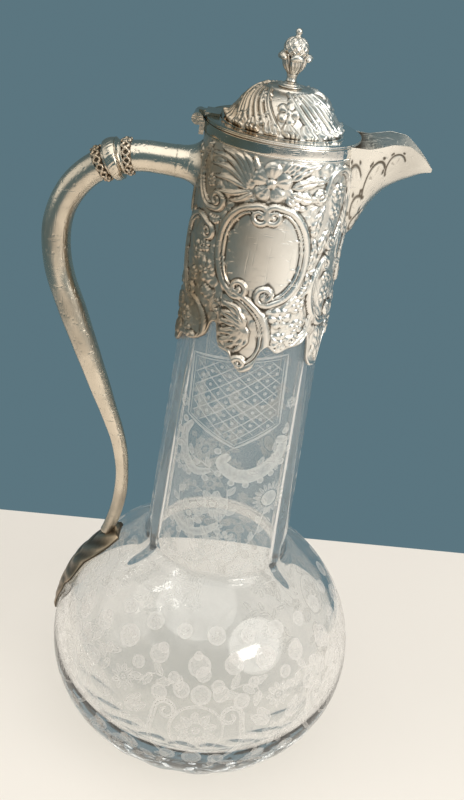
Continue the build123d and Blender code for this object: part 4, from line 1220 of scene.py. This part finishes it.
def make_finial():
    """Stepped foot, stem, cup of curled leaves, bud with a slanted lattice, and ball."""
    base = dome_top_z
    foot_top = base + 1.9
    turned_piece("finial_step", (
        (0, base), (3.9, base), (4.15, base + 0.25), (4.1, base + 0.6), (3.4, base + 0.75),
        (3.3, base + 0.85), (3.15, base + 1.25), (2.4, base + 1.4), (2.2, base + 1.6), (1.8, foot_top),
        (0, foot_top),
    ), 96, "finial_foot")
    stem_top = foot_top + 2.4
    turned_piece("finial_neck", (
        (0, foot_top), (1.95, foot_top), (1.7, foot_top + 0.5), (1.65, foot_top + 1.3),
        (1.85, foot_top + 1.9), (1.95, stem_top), (0, stem_top),
    ), 72, "finial_stem")
    make_calyx(stem_top)
    seat = stem_top + 4.4
    bud_top = seat + 7.3

    def lattice(angles, z):
        up = 1.5 * (z - seat)
        lines = [np.exp(-(np.sin(6 * angles + side * up) / 0.36) ** 2) for side in (-1, 1)]
        fade = ramp(seat, seat + 1, z) * ramp(bud_top, bud_top - 1.0, z)
        return 0.27 * np.maximum(*lines) * fade

    middle = seat + 3.5
    turned_piece("finial_fruit", (
        (0, seat), (2.2, seat + 0.2), (3.5, seat + 1.4), (3.95, middle - 0.6), (3.95, middle + 0.6),
        (3.4, middle + 2.0), (2.2, bud_top - 0.6), (0.9, bud_top), (0, bud_top),
    ), 160, "finial_bud", 3, lattice, 1.4)
    ball_z = finial_top_z - 1.1
    turned_piece("finial_tip", (
        (0, bud_top - 0.5), (1.3, bud_top - 0.45), (1.35, bud_top - 0.05), (0.85, bud_top + 0.25),
        (0.8, ball_z - 0.85), (1.0, ball_z - 0.7), (1.25, ball_z), (0.9, ball_z + 0.9),
        (0.3, finial_top_z), (0, finial_top_z),
    ), 72, "finial_ball")


def make_calyx(foot_z):
    """Cup of five broad leaves whose rounded tips roll outwards; between them it is lower."""
    leaves, first_leaf = 5, 0.2
    angles = ring_angles(200)
    share = np.linspace(0, 1, 60)[:, None]
    lobe = np.abs(np.cos(leaves * (angles - first_leaf) / 2))
    u = share * (0.62 + 0.38 * lobe ** 0.55)
    # Profile of a leaf: share of its length, radius, height over the foot.
    along_leaf, radii, heights = np.transpose((
        (0, 1.9, 0), (0.2, 2.7, 1.0), (0.45, 3.7, 2.8), (0.68, 4.1, 4.7), (0.82, 4.5, 5.9),
        (0.93, 5.0, 6.0), (1.0, 4.9, 5.1),
    ))
    radius = smooth_through(along_leaf, radii, u)
    z = foot_z + smooth_through(along_leaf, heights, u)
    vein = 0.16 * np.cos(leaves * 4 * angles + 5 * u) * ramp(0.1, 0.3, u) * ramp(1.0, 0.9, u)
    groove = 0.45 * np.exp(-((1 - lobe) - 0.95) ** 2 / 0.04)
    outer = round_axis(radius + (vein - groove) * ramp(0, 0.25, u), angles, z)
    raised = z + 0.55 * (1 - ramp(0.75, 1.0, u)) * share
    inner = round_axis(np.maximum(radius - 0.75, 0.5), angles, raised)
    recess = 0.05 + 0.35 * groove - 0.3 * vein
    values = [recess.ravel(), np.full(recess.size, 0.15)]
    points, faces = slab(outer, inner, True)
    up = np.linspace(-np.pi / 2, np.pi / 2, 17)[1:-1, None]
    turn = ring_angles(24)
    for index in range(leaves):
        heading = first_leaf + FULL_TURN * index / leaves
        away = 4.55 + 1.35 * np.cos(up) * np.cos(turn)
        aside = 2.3 * np.cos(up) * np.sin(turn)
        roll = np.stack([away * np.sin(heading) + aside * np.cos(heading),
                         aside * np.sin(heading) - away * np.cos(heading),
                         foot_z + 5.55 + 1.3 * np.sin(up) - 0.12 * aside ** 2], axis=-1)
        more, rims = skin(roll)
        faces += [rim + len(points) for rim in rims]
        points = np.concatenate([points, more])
        values.append(np.full(len(more), 0.03))
    build("finial_leaves", points, faces, {"recess": np.concatenate(values)}, finish_of("chased_silver"),
          "lid", "chased_silver", "finial_calyx")


# ---- glass ------------------------------------------------------------------------------
def neck_radius_at(z):
    """Outer radius of the tapering neck at a height."""
    share = (z - neck_base_z) / (glass_top_z - neck_base_z)
    return neck_base_radius + share * (neck_top_radius - neck_base_radius)


def blended(first, second, reach):
    """The larger of two radii, rounded where they cross."""
    share = np.clip(0.5 + 0.5 * (second - first) / reach, 0, 1)
    return first * (1 - share) + second * share + reach * share * (1 - share)


def glass_outline():
    """Outside of the glass from the foot's middle up, over the lip and down inside."""
    z = np.linspace(0, glass_top_z - lip_rounding, 1500)
    outside = blended(globe_radius_at(z), np.where(z > globe_centre_z, neck_radius_at(z), 0), shoulder_blend)
    outer = np.concatenate([[(0.0, 0.0), (foot_radius * 0.5, 0.0), (foot_radius - 1.0, 0.0)],
                            np.stack([outside, z], axis=1)[5:]])
    lip = glass_top_z - lip_rounding
    turn = np.linspace(0, np.pi, 9)[1:-1]
    middle = neck_radius_at(lip) - neck_wall / 2
    over = np.stack([middle + neck_wall / 2 * np.cos(turn), lip + lip_rounding * np.sin(turn)], axis=1)
    z = np.linspace(lip, floor_thickness, 900)
    upper, lower = globe_upper_half - globe_wall, globe_centre_z - floor_thickness
    half = np.where(z > globe_centre_z, upper, lower)
    hollow = (globe_radius - globe_wall) * np.sqrt(np.clip(1 - ((z - globe_centre_z) / half) ** 2, 0, 1))
    bore = np.where(z > globe_centre_z, neck_radius_at(z) - neck_wall, 0)
    inner = np.stack([blended(hollow, bore, shoulder_blend * 0.8 * (z > globe_centre_z) + 1e-3), z], axis=1)
    inner = np.concatenate([outer[-1:], over, inner, [(0, floor_thickness)]])
    return resampled(outer, 1.5), resampled(inner, 4.0)[1:]


def glass_cuts(angles, z, radius):
    """Lift of the outer face: upright pillars on the neck and round lens cuts on the globe."""
    lift = np.zeros(np.broadcast_shapes(angles.shape, z.shape))
    for degrees in pillar_angles:
        away = wrapped(angles - np.radians(degrees)) * radius
        proud = pillar_proud * np.clip((pillar_fade_z - z) / (pillar_fade_z - pillar_foot_z), 0, 1)
        proud = proud * (0.22 + 0.78 * ramp(pillar_foot_z - 2, pillar_foot_z + 28, z))
        below = 0.75 * np.clip(pillar_foot_z - z, 0, None)
        across = np.clip(np.hypot(away, below) / pillar_half_width, 0, 1)
        lift = np.maximum(lift, proud * (0.5 + 0.5 * np.cos(np.pi * across)))
    for count, low, high, depth in flute_rows:
        away = wrapped(angles * count) / count * radius
        middle, half = (low + high) / 2, (high - low) / 2
        width = 0.46 * FULL_TURN / count * radius
        lift = lift - depth * bump(np.hypot(away / width, (z - middle) / half), 1.0) ** 2
    return lift


def make_glass():
    """Glass body: one outline turned round the axis, in through the mouth and along inside."""
    outer, inner = glass_outline()
    profile = np.concatenate([outer[1:], inner[:-1]])
    angles = ring_angles(360)
    lift = glass_cuts(angles, profile[:, 1:], profile[:, :1]) - skin_depth * ramp(0.5, 2.5, profile[:, 1:])
    outside = (np.arange(len(profile)) < len(outer) - 3)[:, None]
    poles = [np.array((0, 0, outer[0, 1])), np.array((0, 0, inner[-1, 1]))]
    points, faces = skin(turned_grid(profile, angles, lift * outside), poles)
    build("glass", points, faces, {}, clear_glass(), "root", "glass", "glass_body")


def clear_glass():
    """Clear glass with a faint tint, and a thin blue-grey matt layer of painted shade on the neck and under
    the globe.

    Light that has turned many times inside it passes straight out, so that it isn't lost.
    """
    paint = Paint.of_material("clear_glass")
    tint = colour_of("glass")
    clear = paint.shader({"Base Color": tint, "Roughness": 0.0, "IOR": 1.5, "Transmission Weight": 1.0})
    rays = paint.node("ShaderNodeLightPath").outputs
    passing = Value(paint, rays["Is Shadow Ray"]).maths("MAXIMUM", rays["Is Diffuse Ray"])
    passing = passing.maths("MAXIMUM", Value(paint, rays["Ray Depth"]).maths("GREATER_THAN", 5.5))
    through = paint.node("ShaderNodeBsdfTransparent", None, {"Color": tint}).outputs["BSDF"]
    bare = paint.mixed(passing, clear, through)
    height = paint.position("Z")
    clouds = paint.noise(70.0, 3.0).between(0.35, 0.65)
    foot = (0.028 - height).between(0.0, 0.014) * 0.8
    # Painted shade: a faint blue-grey matt layer over the neck and the foot.
    shade_share = height.between(0.064, 0.100).maths("MAXIMUM", foot) * (clouds * 0.05 + 0.07)
    matt = paint.shader({"Base Color": colour_of("glass_shade"), "Roughness": 0.6})
    return paint.finish(paint.mixed(shade_share, bare, matt))


# ---- engraving --------------------------------------------------------------------------
class Engraving:
    """Thin matt shapes on the outside of the glass.

    Each is drawn flat about a place, an angle from the front in degrees and a height: its
    first value runs round the glass and its second up along it, in millimetres.
    """

    def __init__(self):
        self.z = np.linspace(4, glass_top_z - 20, 900)
        neck = np.where(self.z > globe_centre_z, neck_radius_at(self.z), 0)
        self.radius = blended(globe_radius_at(self.z), neck, shoulder_blend)
        self.run = np.cumsum(np.hypot(np.gradient(self.radius), np.gradient(self.z)))
        self.points, self.faces, self.edges = [], [], []
        self.count = 0

    def lay(self, place, grid, edge, wrap):
        """Puts a grid of drawn points on the glass; edge is 1 along its outline, 0 in its middle."""
        angle, z = place
        run = np.interp(z, self.z, self.run) + grid[..., 1]
        radius = np.interp(run, self.run, self.radius)
        turn = np.radians(angle) + grid[..., 0] / radius
        radius = radius - 0.01
        points = (radius * np.sin(turn), -radius * np.cos(turn), np.interp(run, self.run, self.z))
        self.points.append(np.stack(points, axis=-1).reshape(-1, 3))
        self.faces.append(quads(grid.shape[0], grid.shape[1], False, wrap, self.count))
        self.edges.append(np.broadcast_to(edge, grid.shape[:2]).ravel())
        self.count += grid.shape[0] * grid.shape[1]

    def patch(self, place, outline):
        """Filled shape inside a closed outline."""
        outline = np.asarray(outline, float)
        share = np.array((0.04, 0.55, 1.0))[:, None, None]
        grid = outline.mean(0) + (outline - outline.mean(0))[None] * share
        self.lay(place, grid, np.array((0.0, 0.35, 1.0))[:, None], True)

    def stroke(self, place, line, width):
        """Line that thins to both ends."""
        line = np.asarray(line, float)
        ahead = np.gradient(line, axis=0)
        ahead /= np.linalg.norm(ahead, axis=1, keepdims=True) + 1e-9
        across = np.stack([-ahead[:, 1], ahead[:, 0]], axis=1)
        share = np.linspace(0, 1, len(line))
        half = 0.5 * width * (0.3 + 0.7 * np.sin(np.pi * share) ** 0.5)
        offsets = np.array((-1.0, 0.0, 1.0))[None, :, None]
        grid = line[:, None] + across[:, None] * offsets * half[:, None, None]
        self.lay(place, grid, np.array((1.0, 0.4, 1.0))[None, :], False)

    def disc(self, place, centre, radius):
        turn = np.linspace(0, FULL_TURN, 18, endpoint=False)
        self.patch(place, np.array(centre) + radius * np.stack([np.cos(turn), np.sin(turn)], axis=1))

    def circle(self, place, centre, radius, width):
        turn = np.linspace(0, FULL_TURN, 41)
        line = np.array(centre) + radius * np.stack([np.cos(turn), np.sin(turn)], axis=1)
        self.stroke(place, line, width)

    def leaf(self, place, root, heading, length, width, teeth=0):
        """Leaf from its root along a heading: two toothed halves parted by a clear vein."""
        share = np.linspace(0, 1, 10)
        saw = 1 + 0.22 * np.abs(np.sin(np.pi * teeth * share)) * (teeth > 0)
        bulge = 0.5 * width * np.sin(np.pi * share ** 0.8) ** 0.8 * saw
        cos, sin = np.cos(heading), np.sin(heading)
        for side in (-1, 1):
            edge = np.stack([share * length, side * (bulge + 0.10)], axis=1)
            vein = np.array(((0.65 * length, side * 0.10), (0.3 * length, side * 0.10)))
            loop = np.concatenate([edge, vein])
            ahead, aside = loop[:, :1] * (cos, sin), loop[:, 1:] * (-sin, cos)
            self.patch(place, np.array(root) + ahead + aside)

    def flower(self, place, centre, radius, petals, inner=0.3, teeth=0):
        """Petals round a ringed middle."""
        for index in range(petals):
            heading = FULL_TURN * (index + 0.5) / petals
            root = np.array(centre) + inner * radius * np.array((np.cos(heading), np.sin(heading)))
            width = 1.7 * np.pi * (0.6 * radius) / petals
            self.leaf(place, root, heading, radius * (1 - inner), width, teeth)
        self.disc(place, centre, inner * radius * (0.92 if petals > 12 else 0.62))

    def spray(self, place, points, leaf_length, spacing=4.5):
        """Stem with leaves to both sides."""
        line = flowing(points, 0.6)
        self.stroke(place, line, 0.55)
        step = max(int(spacing / 0.6), 2)
        for count, k in enumerate(range(step, len(line) - 1, step)):
            ahead = line[k + 1] - line[k - 1]
            heading = np.arctan2(ahead[1], ahead[0]) + (0.75 if count % 2 else -0.75)
            self.leaf(place, line[k], heading, leaf_length, 0.42 * leaf_length, 3)

    def shield(self, place, corners):
        """Shield with a double edge, filled with a slanted lattice with a dot in each mesh."""
        corners = np.asarray(corners, float)
        closed = np.concatenate([corners, corners[:1]])
        middle = corners.mean(0)
        for share, width in ((1.0, 0.9), (0.93, 0.35)):
            outline = middle + share * (closed - middle)
            for first, second in zip(outline[:-1], outline[1:]):
                self.stroke(place, np.linspace(first, second, 24), width)
        along_edge = np.roll(corners, -1, axis=0) - corners
        normal = np.stack([-along_edge[:, 1], along_edge[:, 0]], axis=1)
        normal /= np.linalg.norm(normal, axis=1, keepdims=True)
        normal *= np.sign(np.einsum("ij,ij->i", normal, middle - corners))[:, None]

        def inside(points, margin):
            away = points @ normal.T - np.einsum("ij,ij->i", normal, corners)
            return (away > margin).all(axis=1)

        pitch, lean_up = 4.1, 0.66
        for lean in (lean_up, np.pi - lean_up):
            ahead = np.array((np.cos(lean), np.sin(lean)))
            aside = np.array((-ahead[1], ahead[0]))
            for index in range(-10, 11):
                points = middle + aside * index * pitch + ahead * np.linspace(-40, 40, 321)[:, None]
                points = points[inside(points, 1.6)]
                if len(points) > 8:
                    self.stroke(place, points[:: max(len(points) // 24, 1)], 0.42)
        first = np.array((np.cos(lean_up), np.sin(lean_up))) * pitch / np.sin(2 * lean_up)
        second = np.array((-first[0], first[1]))
        for i in range(-8, 9):
            for j in range(-8, 9):
                centre = middle + (i + 0.5) * first + (j + 0.5) * second
                if inside(centre[None], 2.4)[0]:
                    self.disc(place, centre, 0.6)


def engrave_neck(art, flip):
    """One side of the neck: a shield under the collar, and flowers and sprays below it."""
    def at(angle, z):
        return (180.0 - angle, z) if flip else (angle, z)

    def hand(points):
        points = np.asarray(points, float)
        return points * (-1, 1) if flip else points

    art.shield(at(-3, 176), hand([(-18.8, 14), (17, 20), (18.6, -8), (2.6, -18), (-17.6, -10)]))
    for angle, z, points, length in (
        (0, 104, ((2, 0), (-4, 9), (-3, 18), (2, 26), (1, 38)), 5.0),
        (0, 104, ((-3, 6), (-9, 13), (-16, 20), (-18, 32)), 4.4),
        (0, 104, ((0, 4), (8, 9), (15, 16), (18, 30)), 4.4),
        (0, 150, ((-3, -4), (-9, -1), (-15, 1), (-21, 8)), 4.6),
        (0, 150, ((4, -3), (10, 0), (16, 4), (22, 14)), 4.6),
        (0, 104, ((-8, -2), (-14, 3), (-21, 6)), 3.8),
        (0, 104, ((6, -3), (13, 1), (21, 4)), 3.8),
    ):
        art.spray(at(angle, z), hand(points), length)
    scroll_place = at(0, 150)
    for points, width, berries in (
        (((0, 5), (-2.5, 1), (3, -3), (9, -3), (15, 0), (19.5, 5), (20.5, 10), (17, 12)), 6.0, 9),
        (((-6, -3), (-12.4, -5), (-17.5, 0), (-19, 8), (-16, 14)), 4.0, 6),
        (((-20, -26), (-14, -31), (-6, -30), (0, -25)), 3.6, 5),
    ):
        line = flowing(hand(points), 0.8)
        art.stroke(scroll_place, line, width)
        for index in range(berries):
            k = int((index + 0.7) / berries * (len(line) - 2))
            ahead = line[k + 1] - line[k]
            aside = np.array((ahead[1], -ahead[0])) / np.linalg.norm(ahead)
            if (line.mean(0) - line[k]) @ aside > 0:
                aside = -aside
            art.disc(scroll_place, line[k] + aside * (0.5 * width + 0.7), 1.35)
    for angle, z, radius, petals, teeth in (
        (39, 136, 7.4, 20, 0), (-25, 126, 6.4, 8, 2), (-7, 133, 6.4, 7, 2), (-38, 146, 4.4, 8, 0),
        (38, 152, 4.4, 8, 0), (-41, 109, 4.2, 7, 0), (40, 108, 4.4, 9, 0), (6, 117, 5.4, 10, 2),
        (-14, 108, 4.2, 7, 0), (20, 104, 3.4, 7, 0), (-46, 170, 2.6, 6, 0), (46, 176, 2.6, 6, 0),
    ):
        art.flower(at(angle, z), (0, 0), radius, petals, 0.5 if petals > 12 else 0.3, teeth)


def engrave_side(art, middle):
    """Upright sprig between two pillars, on the spout's side or the handle's."""
    art.spray((middle, 104), ((0, 0), (3, 16), (-3, 36), (2, 58), (0, 78)), 5.0)
    for z, radius, petals in ((112, 4.8, 9), (131, 5.4, 11), (152, 4.4, 8), (172, 3.8, 8)):
        art.flower((middle, z), (0, 0), radius, petals)


def engrave_globe(art):
    """Globe: ringed flowers, round lenses, scrolls, sprays and leaves, in six sectors."""
    sectors = 6
    for index in range(sectors):
        start = 360.0 * index / sectors
        place = (start + 4, 54)
        art.circle(place, (0, 0), 10.4, 1.3)
        art.flower(place, (0, 0), 8.6, 9, 0.32, 2)
        for side in (-1, 1):
            scroll = curled(flowing([(side * 11, -15), (side * 18, -6), (side * 17, 7)]), 4.6, 1.2, side)
            art.stroke(place, scroll, 2.2)
            for stem in (
                ((6, 12), (12, 18), (20, 19), (25, 13)), ((6, -12), (12, -19), (21, -20), (27, -14)),
            ):
                art.spray(place, [(side * u, v) for u, v in stem], 6.4, 4.4)
            art.disc(place, (side * 16, 13), 3.2)
            art.disc(place, (side * 9.5, -15), 3.2)
        for centre, radius in (
            ((0, 15.0), 4.0), ((-7.6, 16), 3.3), ((7.6, 16), 3.3), ((0, -15), 4.0), ((0, 23.0), 3.0),
        ):
            art.disc(place, centre, radius)
        between = (start + 34, 47)
        art.flower(between, (0, 3), 7.2, 8, 0.32)
        art.flower(between, (0, 20), 5.6, 9)
        art.flower(between, (0, -13), 5.2, 7)
        for side in (-1, 1):
            for heading in (0.5, 1.0):
                turn = heading if side > 0 else np.pi - heading
                art.leaf(between, (side * 4, 9), turn, 9.5, 4.2, 3)
                art.leaf(between, (side * 4, -5), -turn, 8.5, 4.0, 3)
            art.disc(between, (side * 11.0, 3), 3.0)
        for angle, row, size in (
            (8, 87, 3.6), (23, 87, 3.0), (38, 87, 3.6), (53, 87, 3.0),
            (2, 78, 4.4), (16, 79, 3.8), (30, 80, 4.4), (45, 79, 3.8),
        ):
            art.disc((start + angle, row), (0, 0), size)
            art.disc((start + angle + 8, row - 6), (0, 0), 0.6 * size)
        low = (start + 19, 24)
        art.spray(low, ((-18, 3), (-6, -2), (6, 2), (18, -2)), 6.0, 3.8)
        for u in (-12, 0, 12):
            art.flower(low, (u, -6), 4.2, 8)


def make_engraving():
    """Frosted drawing on the outside of the neck and the globe."""
    art = Engraving()
    for flip in (False, True):
        engrave_neck(art, flip)
    for middle in (90, -90):
        engrave_side(art, middle)
    engrave_globe(art)
    values = {"edge": np.concatenate(art.edges)}
    build("glass_engraving", np.concatenate(art.points), [np.concatenate(art.faces)], values,
          frost(), "root", "glass")


def frost():
    """Matt cut, denser and so lighter along its edge than in its middle as painted shading of a sunk cut,
    painted greyer on the neck as shade, fainter on the globe.
    """
    paint = Paint.of_material("frost")
    neck = paint.position("Z").between(0.078, 0.100)
    # Painted shade: the neck's engraving takes a greyer colour.
    tone = paint.blend(neck, colour_of("frost"), colour_of("shaded_neck_frost"))
    matt = paint.shader({"Base Color": tone, "Roughness": 0.55, "IOR": 1.45})
    clear = paint.node("ShaderNodeBsdfTransparent").outputs["BSDF"]
    grain = paint.noise(900.0, 2.0).between(0.3, 0.7)
    # Painted light and shade of a sunk cut: more matt, so lighter, along the edge than in the middle.
    cover_and_shading = (paint.attribute("edge") ** 2.0 * 0.22 + grain * 0.10 + 0.34) * (neck * 0.34 + 0.66)
    return paint.finish(paint.mixed(cover_and_shading, clear, matt))


def plaster():
    """Dull mineral filling with a fine grain."""
    paint = Paint.of_material("plaster")
    grain = paint.noise(500.0, 5.0)
    pale = colour_of("plaster")
    darker = shade([0.6 * part for part in pale])
    surface = paint.shader({
        "Base Color": paint.blend(grain.between(0.35, 0.7), darker, pale),
        "Roughness": 0.9,
        "Normal": paint.bumped(grain, 0.0002),
    })
    return paint.finish(surface)


def dress_fittings():
    """Finishes of the fixed parts that show as they are."""
    fillings = ("neck_plaster", "terminal_cement")
    fittings = ("hinge_collar_plate", "hinge_lid_plate", "hinge_pin", "finial_stud", "finial_washer",
                "finial_nut")
    finishes = dict.fromkeys(fillings, plaster())
    finishes.update(dict.fromkeys(fittings, finish_of("hinge_silver")))
    finishes["lid_bezel"] = finish_of("polished_silver")
    for node, material in finishes.items():
        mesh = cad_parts[node].data
        mesh.materials.clear()
        mesh.materials.append(material)


# ---- stage ------------------------------------------------------------------------------
def lamp(name, place, size, power, tint, shape="DISK"):
    """Soft lamp, round or twice as wide as high, at a place in metres."""
    light = bpy.data.lights.new(name, "AREA")
    light.shape, light.size, light.energy, light.color = shape, size, power, tint
    light.size_y = size / 2
    holder = bpy.data.objects.new(name, light)
    bpy.context.scene.collection.objects.link(holder)
    back = np.array(place) - lamp_aim
    back /= np.linalg.norm(back)
    right = np.cross((0, 0, 1), back)
    right /= np.linalg.norm(right)
    up = np.cross(back, right)
    holder.matrix_world = matrix_of(right, up, back, place)


def matrix_of(right, up, back, place):
    """Matrix with these axes and this place."""
    rows = np.eye(4)
    rows[:3, 0], rows[:3, 1], rows[:3, 2], rows[:3, 3] = right, up, back, place
    return Matrix(rows.tolist())


def make_camera():
    """Camera at the photograph's place: raised, tilted down and rolled."""
    cos, sin = np.cos, np.sin
    onward = np.array((sin(camera_yaw), cos(camera_yaw), 0.0))
    ahead = cos(camera_pitch) * onward - np.array((0.0, 0.0, sin(camera_pitch)))
    level = np.array((cos(camera_yaw), -sin(camera_yaw), 0.0))
    raised = np.cross(level, ahead)
    right = cos(camera_roll) * level + sin(camera_roll) * raised
    up = -sin(camera_roll) * level + cos(camera_roll) * raised
    data = bpy.data.cameras.new("camera")
    data.lens, data.sensor_width, data.clip_start, data.clip_end = lens, sensor, 0.01, 20.0
    camera = bpy.data.objects.new("camera", data)
    bpy.context.scene.collection.objects.link(camera)
    camera.matrix_world = matrix_of(right, up, -ahead, (0, -camera_distance * MM, camera_height * MM))
    bpy.context.scene.camera = camera


def make_floor():
    """Pale floor, in metres: a table that ends behind the jug and beside it, slightly turned."""
    paint = Paint.of_material("floor")
    tone = paint.noise(6.0, 2.0).between(0.3, 0.7)
    pale = colour_of("floor")
    surface = paint.shader({
        "Base Color": paint.blend(tone, shade([0.985 * part for part in pale]), pale),
        "Roughness": 0.7,
        "IOR": 1.3,
    })
    far_edge, turn, low = np.array((0.0, 0.145)), 0.119, -0.0003
    left, right, depth = -0.30, 1.4, 1.3
    ahead = np.array((np.cos(turn), np.sin(turn)))
    aside = np.array((-ahead[1], ahead[0]))
    corners = ((left, depth), (right, depth), (right, 0.0), (left, 0.0))
    floor = bpy.data.meshes.new("floor")
    points = [(*(far_edge + ahead * sideways - aside * near), low) for sideways, near in corners]
    floor.from_pydata(points, [], [(0, 1, 2, 3)])
    floor.materials.append(paint.finish(surface))
    ground = bpy.data.objects.new("floor", floor)
    bpy.context.scene.collection.objects.link(ground)


def make_stage():
    """Pale floor, plain backdrop colour, soft lamps and the camera."""
    make_floor()
    make_world()
    lamp("key_lamp", (0.80, -0.60, 0.72), 0.90, 5.4, tint=(1.0, 0.96, 0.90))
    lamp("window_lamp", (0.72, -0.70, 0.66), 0.34, 1.6, tint=(1.0, 0.98, 0.94), shape="RECTANGLE")
    lamp("side_lamp", (-0.95, -0.30, 0.60), 0.95, 1.9, tint=(1.0, 0.92, 0.82))
    lamp("top_lamp", (-0.10, -0.35, 1.10), 1.15, 4.8, tint=(1.0, 0.97, 0.92))
    make_camera()
    bpy.context.scene.view_settings.view_transform = "Standard"


def make_world():
    """Even pale light; the camera, reflections and glass see the backdrop's colour instead."""
    paint = Paint(bpy.data.worlds.new("studio"))
    bpy.context.scene.world = paint.holder
    rays = paint.node("ShaderNodeLightPath").outputs
    seen = Value(paint, rays["Is Camera Ray"])
    for kind in ("Is Glossy Ray", "Is Transmission Ray"):
        seen = seen.maths("MAXIMUM", rays[kind])
    colour = paint.blend(seen, colour_of("even_light"), colour_of("backdrop"))
    light = paint.node("ShaderNodeBackground", None, {"Color": colour, "Strength": 1.0})
    paint.node("ShaderNodeOutputWorld", None, {"Surface": light.outputs["Background"]})


# ---- operators, panel and start ---------------------------------------------------------
class JUG_OT_stage(bpy.types.Operator):
    """Make the floor, the light and the camera"""

    bl_idname = "jug.stage"
    bl_label = "Stage"

    def execute(self, context):
        make_stage()
        return {"FINISHED"}


class JUG_OT_glass(bpy.types.Operator):
    """Make the clear glass body and its engraving"""

    bl_idname = "jug.glass"
    bl_label = "Glass"

    def execute(self, context):
        make_glass()
        make_engraving()
        return {"FINISHED"}


class JUG_OT_collar(bpy.types.Operator):
    """Make the chased collar"""

    bl_idname = "jug.collar"
    bl_label = "Collar"

    def execute(self, context):
        make_collar()
        return {"FINISHED"}


class JUG_OT_rings(bpy.types.Operator):
    """Make the rim band and the edge of the lid"""

    bl_idname = "jug.rings"
    bl_label = "Plain rings"

    def execute(self, context):
        make_rings()
        return {"FINISHED"}


class JUG_OT_spout(bpy.types.Operator):
    """Make the chased spout"""

    bl_idname = "jug.spout"
    bl_label = "Spout"

    def execute(self, context):
        make_spout()
        return {"FINISHED"}


class JUG_OT_dome(bpy.types.Operator):
    """Make the chased dome of the lid"""

    bl_idname = "jug.dome"
    bl_label = "Lid dome"

    def execute(self, context):
        make_dome()
        return {"FINISHED"}


class JUG_OT_finial(bpy.types.Operator):
    """Make the finial"""

    bl_idname = "jug.finial"
    bl_label = "Finial"

    def execute(self, context):
        make_finial()
        return {"FINISHED"}


class JUG_OT_handle_tubes(bpy.types.Operator):
    """Make the arm and the long tube of the handle"""

    bl_idname = "jug.handle_tubes"
    bl_label = "Handle tubes"

    def execute(self, context):
        make_handle_tubes()
        return {"FINISHED"}


class JUG_OT_handle_rings(bpy.types.Operator):
    """Make the galleries, the cove and the knop"""

    bl_idname = "jug.handle_rings"
    bl_label = "Handle rings"

    def execute(self, context):
        make_handle_rings()
        return {"FINISHED"}


class JUG_OT_leaf(bpy.types.Operator):
    """Make the leaf at the foot of the handle"""

    bl_idname = "jug.leaf"
    bl_label = "Handle leaf"

    def execute(self, context):
        make_leaf()
        return {"FINISHED"}


class JUG_OT_fittings(bpy.types.Operator):
    """Give the fixed parts their finish"""

    bl_idname = "jug.fittings"
    bl_label = "Fittings"

    def execute(self, context):
        dress_fittings()
        return {"FINISHED"}


piece_operators = (
    JUG_OT_stage,
    JUG_OT_glass,
    JUG_OT_collar,
    JUG_OT_rings,
    JUG_OT_spout,
    JUG_OT_dome,
    JUG_OT_finial,
    JUG_OT_handle_tubes,
    JUG_OT_handle_rings,
    JUG_OT_leaf,
    JUG_OT_fittings,
)


class JUG_PT_pieces(bpy.types.Panel):
    """Lists the pieces of the jug and their settings"""

    bl_label = "Claret jug"
    bl_idname = "JUG_PT_pieces"
    bl_space_type = "VIEW_3D"
    bl_region_type = "UI"
    bl_category = "Claret jug"

    def draw(self, context):
        for operator in piece_operators:
            self.layout.operator(operator.bl_idname)
        for group in (context.scene.jug_sizes, context.scene.jug_colours):
            for key in group.__annotations__:
                self.layout.prop(group, key)


classes = (JugColours, JugSizes, *piece_operators, JUG_PT_pieces)


def register():
    for cls in classes:
        bpy.utils.register_class(cls)
    bpy.types.Scene.jug_colours = bpy.props.PointerProperty(type=JugColours)
    bpy.types.Scene.jug_sizes = bpy.props.PointerProperty(type=JugSizes)


def unregister():
    del bpy.types.Scene.jug_sizes
    del bpy.types.Scene.jug_colours
    for cls in reversed(classes):
        bpy.utils.unregister_class(cls)


def main():
    """Makes every piece in order."""
    register()
    for operator in piece_operators:
        getattr(bpy.ops.jug, operator.bl_idname.split(".")[1])()


if __name__ == "__main__":
    main()
